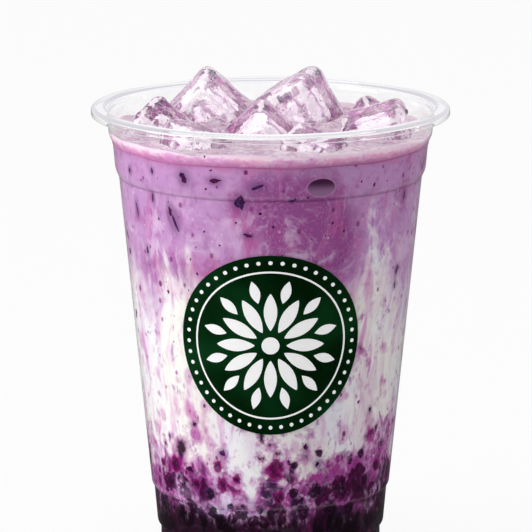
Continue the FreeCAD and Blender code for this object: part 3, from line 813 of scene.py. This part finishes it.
# pieces of fruit: (degrees from the front; height; radius; tone from 0, blue black, to 1,
# magenta), and how many more pieces and gaps are scattered away from the front
fruit = {
    "placed": [(-30, 22, 1.6, 0.1), (-23, 25, 2.2, 0.9), (-14, 17.5, 2.2, 0.6), (-2, 23, 1.5, 0.1),
               (-5, 18.3, 1.2, 0.2), (2.5, 30, 2.6, 1.0), (11, 31, 1.1, 0.2), (11, 23, 1.3, 0.4),
               (4, 22, 1.6, 0.9), (22, 23.5, 2.2, 0.2), (35, 23, 3.2, 0.6), (50, 24, 1.6, 0.4),
               (-41, 17, 2.4, 0.4), (-55, 23, 1.4, 0.4), (-50, 28.5, 2.2, 0.9), (-25, 30, 1.6, 1.0),
               (3, 17, 3.0, 0.6), (-25, 14, 2.0, 0.2), (-37, 24, 1.3, 0.8), (-16, 26.7, 1.3, 0.8),
               (22.5, 34, 1.1, 0.2), (46, 32, 1.2, 0.2), (59, 27, 1.8, 0.8), (16, 17.5, 1.9, 0.4),
               (30, 16.5, 2.4, 0.4), (-9, 15.2, 1.7, 0.4), (-19, 15.4, 1.5, 0.6),
               (-3.5, 15, 1.7, 0.8), (-20, 18.6, 1.3, 0.1), (-30, 17, 1.9, 0.2),
               (42, 17, 1.9, 0.6), (-68, 16, 1.8, 0.4), (-61, 28, 1.2, 0.9)],
    "scattered": 70, "gaps": 22, "seed": 21}

# flakes of yam skin: (degrees from the front; height; length; width; turn from upright)
flakes = {
    "placed": [(-63, 109.5, 1.6, 0.6, 25), (-48, 111, 1.6, 0.8, 0), (-32.8, 110.4, 3.2, 1.9, -35),
               (-20.4, 110.4, 3.2, 1.2, 85), (-21.7, 113.2, 1.0, 0.5, 60), (-4.8, 109, 3.6, 0.9, 65),
               (-11.2, 104.6, 3.4, 2.9, 10), (-8.4, 95.6, 2.8, 0.8, 100), (-3.9, 101.7, 0.9, 0.8, 0),
               (-62, 99, 4.2, 0.6, -12), (-50, 103.5, 2.4, 0.6, 12), (-47.5, 97.7, 0.9, 0.6, 0),
               (-41, 100.6, 2.6, 1.2, -10), (-39, 97.5, 5.0, 0.7, -25), (-56.6, 88, 2.2, 0.8, 10),
               (-45.3, 77.6, 1.0, 0.7, 0), (-36.2, 41.3, 1.3, 1.1, 0), (-22.4, 34.1, 1.8, 1.5, 0),
               (40.8, 107.9, 1.0, 0.8, 0), (61, 102.8, 2.2, 0.7, 15), (29, 96, 0.8, 0.6, 0),
               (60.7, 82, 2.6, 0.8, 10), (60.3, 77.8, 1.8, 0.7, -10), (-23.4, 117, 0.7, 0.5, 0),
               (1.0, 98, 0.8, 0.8, 0), (-13, 99, 0.7, 0.6, 0), (8, 105.2, 1.9, 0.6, 85),
               (24, 98.5, 0.8, 0.6, 20), (-30, 84, 0.9, 0.6, 0), (16, 36, 1.7, 1.2, 0),
               (22, 31, 1.6, 1.0, 30), (42, 47, 1.2, 0.8, 10), (50, 44, 1.4, 0.9, 0)],
    "scattered": 165, "small": 120, "outline": 14, "lift": 0.12, "sunk": 0.05, "uneven": 0.45,
    "stained": 1.2, "stain": 0.7, "stainEdge": 0.5, "seed": 7}


def flakeList():
    # the placed flakes, then scattered ones, mostly small and high up; large ones only away
    # from the front
    draw = np.random.default_rng(flakes["seed"])
    count = flakes["scattered"]
    small = np.arange(count) < flakes["small"]
    degrees = np.where(small, draw.uniform(0, 360, count), draw.uniform(75, 285, count))
    heights = 113 - 75 * draw.beta(1.0, 1.8, count)
    lengths = np.where(small, draw.uniform(0.35, 0.8, count), draw.gamma(2.0, 0.6, count) + 0.9)
    widths = np.minimum(lengths * draw.uniform(0.35, 0.9, count), 1.6)
    turns = draw.normal(0, 35, count)
    return np.concatenate([np.array(flakes["placed"], float),
                           np.stack([degrees, heights, lengths, widths, turns], 1)])


def alongWall(degrees, angles, z):
    # mm along the cavity's side from an upright line, given in degrees from the front
    turn = (angles - math.radians(degrees - 90) + math.pi) % (2 * math.pi) - math.pi
    return turn * cavityRadius(z)


def maskAt(rows, angles, z):
    # sum of soft ellipses: strength * exp(-(a / w)^2 - (b / h)^2), a along the wall
    total = np.zeros(z.shape)
    for degrees, height, wide, tall, strength, *lean in rows:
        across = alongWall(degrees, angles, z) + sum(lean) * (z - height)
        total += strength * np.exp(-(across / wide) ** 2 - ((z - height) / tall) ** 2)
    return total


def fruitMasks(angles, z):
    # for each point 1 - (distance / radius)^2 to the nearest piece of fruit, and its tone
    draw = np.random.default_rng(fruit["seed"])
    count = fruit["scattered"]
    spread = np.stack([draw.uniform(72, 285, count), 14 + 20 * draw.beta(1.2, 1.9, count),
                       draw.uniform(0.9, 2.7, count), draw.uniform(0, 1, count)], 1)
    body, tone = np.full(z.shape, -1.0), np.zeros(z.shape)
    for degrees, height, radius, shade in np.concatenate([np.array(fruit["placed"]), spread]):
        across = alongWall(degrees, angles, z)
        near = 1 - (across ** 2 + ((z - height) * 0.9) ** 2) / radius ** 2
        tone = np.where(near > body, shade, tone)
        body = np.maximum(body, near)
    return body, tone


def gapList():
    # the placed gaps, then scattered ones away from the front
    draw = np.random.default_rng(fruit["seed"] + 1)
    count = fruit["gaps"]
    spread = np.stack([draw.uniform(70, 290, count), draw.uniform(19, 36, count),
                       draw.uniform(1.6, 4.2, count), draw.uniform(1.4, 3.6, count),
                       draw.uniform(0.7, 1.0, count)], 1)
    return np.concatenate([np.array(spots["gap"]), spread])


def stainList():
    # an upright ellipse round each larger flake, fainter round the scattered ones
    table = flakeList()
    turns = np.radians(table[:, 4])
    c, s = np.abs(np.cos(turns)), np.abs(np.sin(turns))
    length, width = table[:, 2] * flakes["stain"], table[:, 3] * flakes["stain"]
    strength = np.where(np.arange(len(table)) < len(flakes["placed"]), 1.0, 0.3)
    stains = np.stack([table[:, 0], table[:, 1], width * c + length * s + flakes["stainEdge"],
                       length * c + width * s + flakes["stainEdge"], strength], 1)
    return stains[table[:, 2] > flakes["stained"]]


def pocketShare(angles, z):
    # 1 - (across / wide)^2 - (up / tall)^2, below 0 outside the pocket
    across = alongWall(pocket["angle"], angles, z) / pocket["wide"]
    return np.maximum(1 - across ** 2 - ((z - pocket["height"]) / pocket["tall"]) ** 2, -1.0)


def wallRows(low, high, count, angles):
    # rings on the cavity's side from one height to another, reach mm into the wall
    z = low + (high - low) * np.linspace(0, 1, count)[:, None]
    hollow = pocket["depth"] * np.clip(pocketShare(angles, z), 0, 1) ** 0.6
    return polar(cavityRadius(z) + drink["reach"] - hollow, angles, z)


def discRows(layer, low, angles, shares):
    # rings of a boundary, each a share of the way out to the wall
    radius = np.hypot(low[:, 0], low[:, 1]) * shares[:, None]
    x, y = radius * np.cos(angles), radius * np.sin(angles)
    rim = floorOf(layer, low[:, 0], low[:, 1])
    return np.stack([x, y, floorOf(layer, x, y) + (low[:, 2] - rim) * shares[:, None] ** 8], -1)


def makeLayer(piece, node, rows, material):
    points, faces = closedTurn(np.concatenate(rows))
    angles, z = np.arctan2(points[:, 1], points[:, 0]), points[:, 2]
    lists = {**spots, "halo": stainList(), "gap": gapList()}
    masks = {key: maskAt(table, angles, z) for key, table in lists.items()}
    masks["film"] = 0 * z
    # a line of painted shade at each ledge, and a painted highlight in the film mask just above it
    for name, over, strength in ledges["rows"]:
        up = z - (cupHeights[name] + over)
        masks["shade"] += ledges["dark"] * np.exp(-(up / ledges["darkWidth"]) ** 2)
        masks["film"] += strength * np.exp(-((up - ledges["filmAbove"]) / ledges["filmWidth"]) ** 2)
    # the pocket's and the fruit's shares are stored 1 higher, so that 0 is clear of them
    masks["pocket"] = pocketShare(angles, z) + 1
    body, masks["tone"] = fruitMasks(angles, z)
    masks["berry"] = body + 1
    onSide = np.hypot(points[:, 0], points[:, 1]) > cavityRadius(z) - drink["sideDepth"]
    masks = {key: values * onSide for key, values in masks.items()}
    makePiece(piece, points, faces, material, node, [node], masks)
    print(piece, "ready,", len(faces), "faces")


def makeDrink():
    material = drinkMaterial()
    angles, rings = roundAngles(drink["segments"]), drink["wallRings"]
    inward = np.linspace(1, 0.04, drink["discRings"])[1:]
    outward = np.linspace(0.04, 1, drink["discRings"])[:-1]
    milkFloor, ubeFloor, frothFloor = (floorAtWall(layer, angles)
                                       for layer in ("milk", "ube", "froth"))

    # the jam's underside follows the base as far as the foot's corner
    base = cupInside(drink["reach"])
    base = base[:np.argmax(np.gradient(base[:, 1]) > 0.1)]
    base = base[base[:, 0] > 0.5]
    wall = wallRows(base[-1, 1] + 0.6 + 0 * angles, milkFloor, rings["jam"], angles)
    rows = [turned(base, len(angles)), wall, discRows("milk", wall[-1], angles, inward)]
    makeLayer("jamLayer", "jam", rows, material)

    wall = wallRows(milkFloor, ubeFloor, rings["milk"], angles)
    rows = [discRows("milk", wall[0], angles, outward), wall,
            discRows("ube", wall[-1], angles, inward)]
    makeLayer("milkLayer", "milk", rows, material)

    # the top of this layer dips under the ice with the froth
    wall = wallRows(ubeFloor, frothFloor, rings["ube"], angles)
    lid = discRows("froth", wall[-1], angles, np.linspace(1, 0.02, drink["lidRings"])[1:])
    x, y, z = np.moveaxis(lid, -1, 0)
    lid[..., 2] = np.minimum(z, frothSurface(x, y, np.hypot(x, y)) - drink["underFroth"])
    rows = [discRows("ube", wall[0], angles, outward), wall, lid]
    makeLayer("yamMilkLayer", "ube", rows, material)


def makeFlakes():
    # each flake is a low lens with an uneven outline, laid on the drink's side:
    # along = l/2 cos a, across = w/2 sin a, both times 1 + uneven * noise
    material, place = newMaterial("yamSkin")
    tone, grain = cloud(place, 90.0, 2.0), cloud(place, 1500.0)
    colour = wash(tint(58, 30, 80), (tone, 0.42, 0.6, 84, 20, 66),
                  (grain, 0.45, 0.75, 0.0, 0.6, 120, 76, 128))
    paint(material, colour, 0.5, 0.0)
    degrees, heights, lengths, widths, turns = flakeList().T[:, :, None]
    draw = np.random.default_rng(flakes["seed"] + 1)
    n, m = len(degrees), flakes["outline"]
    uneven = 1 + flakes["uneven"] * draw.uniform(-1, 1, (n, m)) * np.linspace(1, 0.5, m)
    along = lengths / 2 * np.cos(roundAngles(m)) * uneven
    across = widths / 2 * np.sin(roundAngles(m)) * uneven
    turns = np.radians(turns)
    side = along * np.sin(turns) + across * np.cos(turns)
    up = along * np.cos(turns) - across * np.sin(turns)
    rings = []
    for share, lift in ((0.5, -flakes["sunk"]), (1.0, 0.0), (0.6, flakes["lift"])):
        z = heights + up * share
        radius = cavityRadius(z) + drink["reach"] + lift
        rings.append(polar(radius, np.radians(degrees - 90) + side * share / radius, z))
    points, faces = joined([closedTurn(flake) for flake in np.stack(rings, 1)])
    makePiece("yamFlakes", points, faces, material, "ube")
    print("flakes ready,", n)


# the froth: the wet surface, its meniscus and the wells that the ice sits in
froth = {"rings": 140, "underRings": 80, "segments": 384, "deepest": 16.0, "depthStep": 0.5,
         "well": -0.25, "wellGap": 0.3, "climb": 0.5, "climbWidth": 1.0, "ripple": 0.2,
         "uneven": 0.7, "underGap": 0.4}


def frothMaterial():
    # pink foam at the wall and in the wells, creamy inside with mauve swirls and white lace, and
    # painted light
    material, place = newMaterial("pinkFroth")
    place = place * 1000.0
    x, y, z = split(place)
    swirl = cloud(place, 0.07, 4.0, 0.55, 1.0)
    foam = cloud(place, 0.4, 4.0, 0.6, 0.5, up=1.6)
    colour = wash(tint(238, 186, 230), (swirl, 0.42, 0.58, 248, 190, 222),
                  (foam, 0.48, 0.64, 0.0, 0.75, 246, 218, 236),
                  (foam, 0.4, 0.3, 0.0, 0.5, 202, 106, 162))
    away = put(place.tree, "ShaderNodeVectorMath", {0: combine(x, y, 0.0)}, operation="LENGTH")
    inner = fade(away["Value"], 43.6, 41.6)
    # the cream pales towards the front (-Y): a painted reflection
    creamAndSheen = wash(tint(228, 176, 212), (y, -6.0, -30.0, 250, 216, 242))
    colour = blend(inner * 0.78, colour, creamAndSheen)
    swirls = cloud(place + (30, 5, 0), 0.15, 4.0, 0.55, 2.4)
    mauve = inner * fade(abs(swirls - 0.5), 0.08, 0.01, 0.0, 0.75)
    lace = cloud(place, 0.16, 5.0, 0.6, 2.2)
    lace = inner * fade(abs(lace - 0.5), 0.05, 0.0, 0.0, 0.8)
    # deeper pink low on the band; near white where the froth climbs highest, a painted highlight
    depth = z + swirl * 1.4 + (foam - 0.5) * 2.6
    colour = wash(colour, (mauve, 184, 116, 170), (lace, 255, 246, 252),
                  (depth, 114.8, 117.4, 1.0, 0.0, 206, 136, 188),
                  (depth, 117.0, 117.8, 0.0, 0.8, 254, 236, 246))
    return paint(material, colour, 0.25, 0.35, IOR=1.35, Normal=relief(foam, 0.25, 0.0005))


def rimLift(angles):
    # how high the froth clings to the wall, uneven round the cup
    uneven = np.sin(7 * angles + 1) + 0.7 * np.sin(11 * angles + 2) + 0.5 * np.sin(19 * angles)
    return drink["meniscus"] + froth["uneven"] * uneven / 2.2


def frothSurface(x, y, radius):
    # level + meniscus near the wall + ripples, raised to the ice and dropped under it
    edge = np.clip(1 - (cavityRadius(surfaceHeight) - radius) / drink["meniscusWidth"], 0, 1)
    z = surfaceHeight + rimLift(np.arctan2(y, x)) * edge ** 2
    z = z + froth["ripple"] * wave(x, y, 9.0) + 0.5 * froth["ripple"] * wave(y, x, 4.3)
    for cube in iceCubes:
        centre, _, half = iceFrame(cube)
        close = np.hypot(x - centre[0], y - centre[1]) < 1.8 * half[0] + 3
        level = np.stack([x[close], y[close], np.full(close.sum(), surfaceHeight)], -1)
        near = iceDistance(cube, level)
        top = z[close] + froth["climb"] * np.exp(-np.clip(near, 0, None) / froth["climbWidth"])
        sunk = near < froth["well"]
        bottom = np.where(sunk, surfaceHeight, np.inf)
        for depth in np.arange(froth["depthStep"], froth["deepest"], froth["depthStep"]):
            level[..., 2] = surfaceHeight - depth
            sunk = sunk & (iceDistance(cube, level) < 0.1)
            bottom = np.where(sunk, surfaceHeight - depth - froth["wellGap"], bottom)
        z[close] = np.minimum(top, bottom)
    return z


def makeFroth():
    angles = roundAngles(froth["segments"])
    wall = wallRows(floorAtWall("froth", angles), surfaceHeight + rimLift(angles),
                    drink["wallRings"]["froth"], angles)

    def disc(shares):
        radius = (cavityRadius(surfaceHeight) + drink["reach"]) * shares[:, None] + 0 * angles
        x, y = radius * np.cos(angles), radius * np.sin(angles)
        return x, y, frothSurface(x, y, radius)
    x, y, z = disc(np.linspace(1, 0.01, froth["rings"]))
    upper = np.stack([x, y, z], -1)
    # the underside follows the boundary and, below the wells, stays under the surface
    x, y, z = disc(np.linspace(0.01, 1, froth["underRings"])[:-1])
    under = np.minimum(floorOf("froth", x, y), z - froth["underGap"])
    lower = np.stack([x, y, under], -1)
    points, faces = closedTurn(np.concatenate([lower, wall, upper[1:]]))
    makePiece("frothTop", points, faces, frothMaterial(), "froth", ["froth"])
    print("froth ready,", len(faces), "faces")


def cubeGrid(count):
    # six grids on the faces of the cube from -1 to 1, spaced by tan for even squares
    line = np.tan(np.linspace(-1, 1, count) * math.pi / 4)
    a, b = np.meshgrid(line, line, indexing="ij")
    one = np.ones_like(a)
    sides = [(one, a, b), (-one, b, a), (b, one, a), (a, -one, b), (a, b, one), (b, a, -one)]
    points = np.concatenate([np.stack(side, -1).reshape(-1, 3) for side in sides])
    quads = gridFaces(count, count)
    faces = np.concatenate([quads + side * count * count for side in range(6)])
    _, first, whole = np.unique(np.round(points, 6), axis=0, return_index=True,
                                return_inverse=True)
    return points[first], whole.ravel()[faces]


def bumps(points, seed, length, count=7):
    # soft uneven field: the mean of plane waves in random directions
    draw = np.random.default_rng(seed)
    ways = draw.normal(size=(count, 3))
    ways /= np.linalg.norm(ways, axis=1)[:, None]
    phases = draw.uniform(0, 2 * math.pi, count)
    scale = 2 * math.pi / (length * draw.uniform(0.7, 1.4, count))
    return np.sin(points @ (ways * scale[:, None]).T + phases).mean(1)


def iceShape(cube, seed, grid):
    # a box rounded by r: clamp to half - r, then r along what is left; dimpled faces and
    # melted bumps along the normal
    centre, axes, half = iceFrame(cube)
    unit, faces = cubeGrid(grid)
    local = unit * half
    core = np.clip(local, -(half - ice["round"]), half - ice["round"])
    way = local - core
    way /= np.linalg.norm(way, axis=1)[:, None]
    local = core + way * ice["round"]
    flat = np.sort(np.abs(unit), axis=1)[:, :2]
    dimple = ((1 - flat[:, 0] ** 2) * (1 - flat[:, 1] ** 2)) ** 1.5
    local = local - way * (ice["dimple"] * dimple)[:, None]
    local = local + way * (ice["melt"] * bumps(local, seed, 9.0)
                           + 0.5 * ice["melt"] * bumps(local, seed + 50, 3.2))[:, None]
    local[:, :2] *= (1 + math.tan(math.radians(ice["taper"])) * local[:, 2:] / half[0])
    return local @ axes.T + centre, faces


def frostMaterial():
    # cloudy ice: white patches that thin out to nothing, with dark specks; a glow in its own colour
    # is painted light
    material, place = newMaterial("cloudyIce")
    place = place * 1000.0
    puff, grain = cloud(place, 0.2, 2.0, 0.5, 0.8), cloud(place, 0.9, 3.0, 0.6, 0.5)
    specks = dots(place * (1.0, 1.0, 0.7), 0.6, 0.24, 0.5) * 0.85
    colour = wash(tint(248, 236, 246), (grain, 0.42, 0.62, 255, 254, 255), (specks, 112, 62, 108))
    return paint(material, colour, 0.6, 0.1, 0.25,
                 Alpha=fade(puff + grain * 0.15, 0.46, 0.55), Normal=relief(grain, 0.1, 0.0004))


def veinGlintMaterial():
    # mauve ribbons beside the cube's edges and white ones on them, which are painted highlights, with
    # a few thin lines between, where |noise - 0.5| is small
    material, place = newMaterial("iceVeinGlints")
    place = place * 1000.0
    edge = put(place.tree, "ShaderNodeAttribute", attribute_name="edge")["Fac"]
    swirl = cloud(place, 0.17, 3.0, 0.55, 1.4)
    bend = edge + (swirl - 0.5) * 0.9
    mauve = fade(bend, 0.38, 0.5) * fade(bend, 0.74, 0.6)
    white = fade(bend, 0.84, 0.92)
    lines = fade(abs(cloud(place, 0.3, 2.0) - 0.5), 0.02, 0.004)
    colour = wash(tint(150, 88, 146), (swirl, 0.4, 0.6, 206, 134, 188),
                  (larger(white, lines), 255, 250, 254))
    alpha = larger(larger(mauve * 0.62, white * 0.7), lines * 0.5)
    return paint(material, colour, 0.5, 0.1, Alpha=alpha)


def shadeMaterial():
    # grey-mauve and partly see-through: painted shade in the ice
    material, place = newMaterial("iceShade")
    swirl = cloud(place * 1000.0, 0.5, 2.0, 0.5, 0.6)
    colour = wash(tint(88, 76, 98), (swirl, 0.4, 0.6, 150, 138, 158))
    return paint(material, colour, 0.5, 0.1, Alpha=fade(swirl, 0.3, 0.6, 0.8, 0.45))


def shadeShapes():
    # painted shade near the tips: uneven grey balls, flattened from front to back; a tip is the
    # highest corner of the cube's box
    ball, faces = cubeGrid(ice["shadeGrid"])
    ball = ball / np.linalg.norm(ball, axis=1)[:, None]
    shapes = []
    for cube, share, side, radius in ice["shades"]:
        centre, axes, half = iceFrame(cube)
        middle = centre + axes @ (np.sign(axes[2]) * half) * share + np.array([side, 0, 0])
        uneven = 1 + ice["shadeUneven"] * bumps(ball * 3 + middle, 5, 4.0)
        size = np.array([radius, radius * ice["shadeDepth"], radius])
        shapes.append((middle + ball * uneven[:, None] * size, faces))
    return shapes


def makeIce():
    # a clear cube, in it a cloudy core and, close under its faces, a skin with the ribbons and the
    # painted edge highlights; grey balls of painted shade near some tips
    clear = clearMaterial("clearIce", (1.0, 0.965, 0.985, 1), 0.0, 1.31, 0.0011, 150.0)
    cores, skins = [], []
    for number, cube in enumerate(iceCubes):
        points, faces = iceShape(cube, 11 + number, ice["grid"])
        makePiece(cube, points, faces, clear, "ice", [iceCubes[cube][0]])
        centre = iceFrame(cube)[0]
        points, faces = iceShape(cube, 31 + number, ice["coreGrid"])
        share = ice["core"] + ice["coreUneven"] * bumps(points, 71 + number, 5.0)
        core = centre + (points - centre) * share[:, None] + np.array([0, 0, ice["coreLift"]])
        cores.append((core, faces))
        skins.append((centre + (points - centre) * ice["veins"], faces))
    edge = np.sort(np.abs(cubeGrid(ice["coreGrid"])[0]), axis=1)[:, 1]
    makePiece("iceFrost", *joined(cores), frostMaterial(), "ice")
    makePiece("iceVeinGlints", *joined(skins), veinGlintMaterial(), "ice",
              attributes={"edge": np.tile(edge, len(iceCubes))})
    makePiece("iceShades", *joined(shadeShapes()), shadeMaterial(), "ice")
    print("ice ready")


# the sticker: a dark disc with a beaded edge and a twelve-petal rosette; a petal and the leaf
# between two are (inner end, outer end, width, sharpness), the ring is (radius, width)
sticker = {"radius": 25.2, "centre": 65.1, "film": 0.2, "sunk": 0.05, "print": 0.04,
           "rings": 60, "backRings": 12, "segments": 240, "beads": 48, "beadRadius": 0.55,
           "beadCircle": 23.2, "ring": (20.6, 0.5), "middle": 2.4, "petals": 12,
           "petal": (4.2, 14.6, 3.5, 0.8), "leaf": (12.2, 18.6, 2.6, 0.9)}


def onWall(across, up, lift):
    # sticker coordinates to the cup: height by the wall's slope, angle = across / radius
    z = sticker["centre"] + up * math.cos(math.atan(cup["wallDraft"]))
    angle = across / outerRadius(sticker["centre"]) - math.pi / 2
    return polar(outerRadius(z) + lift, angle, z)


def makeSticker():
    material, place = newMaterial("greenSticker")
    fibre, shade = cloud(place, 900.0), cloud(place, 60.0, 2.0)
    colour = wash(tint(0, 30, 5), (shade, 0.3, 0.7, 6, 58, 24))
    paint(material, colour, fade(fibre, 0.3, 0.7, 0.4, 0.5), 0.03,
          Normal=relief(fibre, 0.15, 0.0001))
    rings, back, sunk = sticker["rings"], sticker["backRings"], sticker["sunk"]
    shares = np.concatenate([np.linspace(0.02, 1, rings), [1.0], np.linspace(1, 0.02, back)])
    lifts = np.concatenate([np.full(rings, sticker["film"]), [sunk], np.full(back, -sunk)])
    across, up = circle(sticker["radius"], sticker["segments"]).T
    rows = onWall(across * shares[:, None], up * shares[:, None], lifts[:, None])[::-1]
    makePiece("stickerFilm", *closedTurn(rows), material, "sticker", ["sticker"])
    makePrint()


def flatShape(outline, rows=6):
    # rings from a shape's outline in to its middle, laid on the sticker
    middle = outline.mean(0)
    flat = middle + (outline - middle) * np.linspace(1, 0.05, rows)[:, None, None]
    front = onWall(flat[..., 0], flat[..., 1], sticker["film"] + sticker["print"])
    back = onWall(flat[..., 0], flat[..., 1], sticker["film"] - sticker["sunk"])[::-1]
    return closedTurn(np.concatenate([back, front]))


def petal(turn, inner, outer, width, tip, count=28):
    # leaf outline: half the width * sin(pi share)^tip either side of a line
    share = np.linspace(0, 1, count)
    half = width / 2 * np.sin(math.pi * share) ** tip
    length = inner + (outer - inner) * share
    side = np.concatenate([np.stack([length, -half], 1), np.stack([length, half], 1)[::-1][1:-1]])
    c, s = math.cos(turn), math.sin(turn)
    return side @ np.array([[c, s], [-s, c]])


def ringShape(radius, width, count=160):
    # a thin ring with its own front, sides and back
    outlines = [circle(radius - width / 2, count).T, circle(radius + width / 2, count).T]
    lifts = [sticker["film"] - sticker["sunk"], sticker["film"] + sticker["print"]]
    rows = np.stack([onWall(*outlines[side], lifts[level])
                     for side, level in ((0, 0), (1, 0), (1, 1), (0, 1))])
    return rows.reshape(-1, 3), gridFaces(4, count, closedRows=True, closedRings=True)


def makePrint():
    material, place = newMaterial("whitePrint")
    colour = blend(cloud(place, 900.0), tint(248, 249, 248), tint(255, 255, 255))
    # the print glows a little in its own colour: painted light that keeps it white
    paint(material, colour, 0.45, 0.3, 0.15)
    beads = circle(sticker["beadCircle"], sticker["beads"])
    shapes = [flatShape(circle(sticker["beadRadius"], 14) + middle, 3) for middle in beads]
    half = math.pi / sticker["petals"]
    for turn in roundAngles(sticker["petals"]) + math.pi / 2:
        shapes.append(flatShape(petal(turn, *sticker["petal"])))
        shapes.append(flatShape(petal(turn + half, *sticker["leaf"])))
    shapes.append(flatShape(circle(sticker["middle"], 40)))
    shapes.append(ringShape(*sticker["ring"]))
    makePiece("stickerPrint", *joined(shapes), material, "sticker")
    print("sticker ready")


makeStage()
makeCup()
makeDrink()
makeFroth()
makeFlakes()
makeIce()
makeSticker()
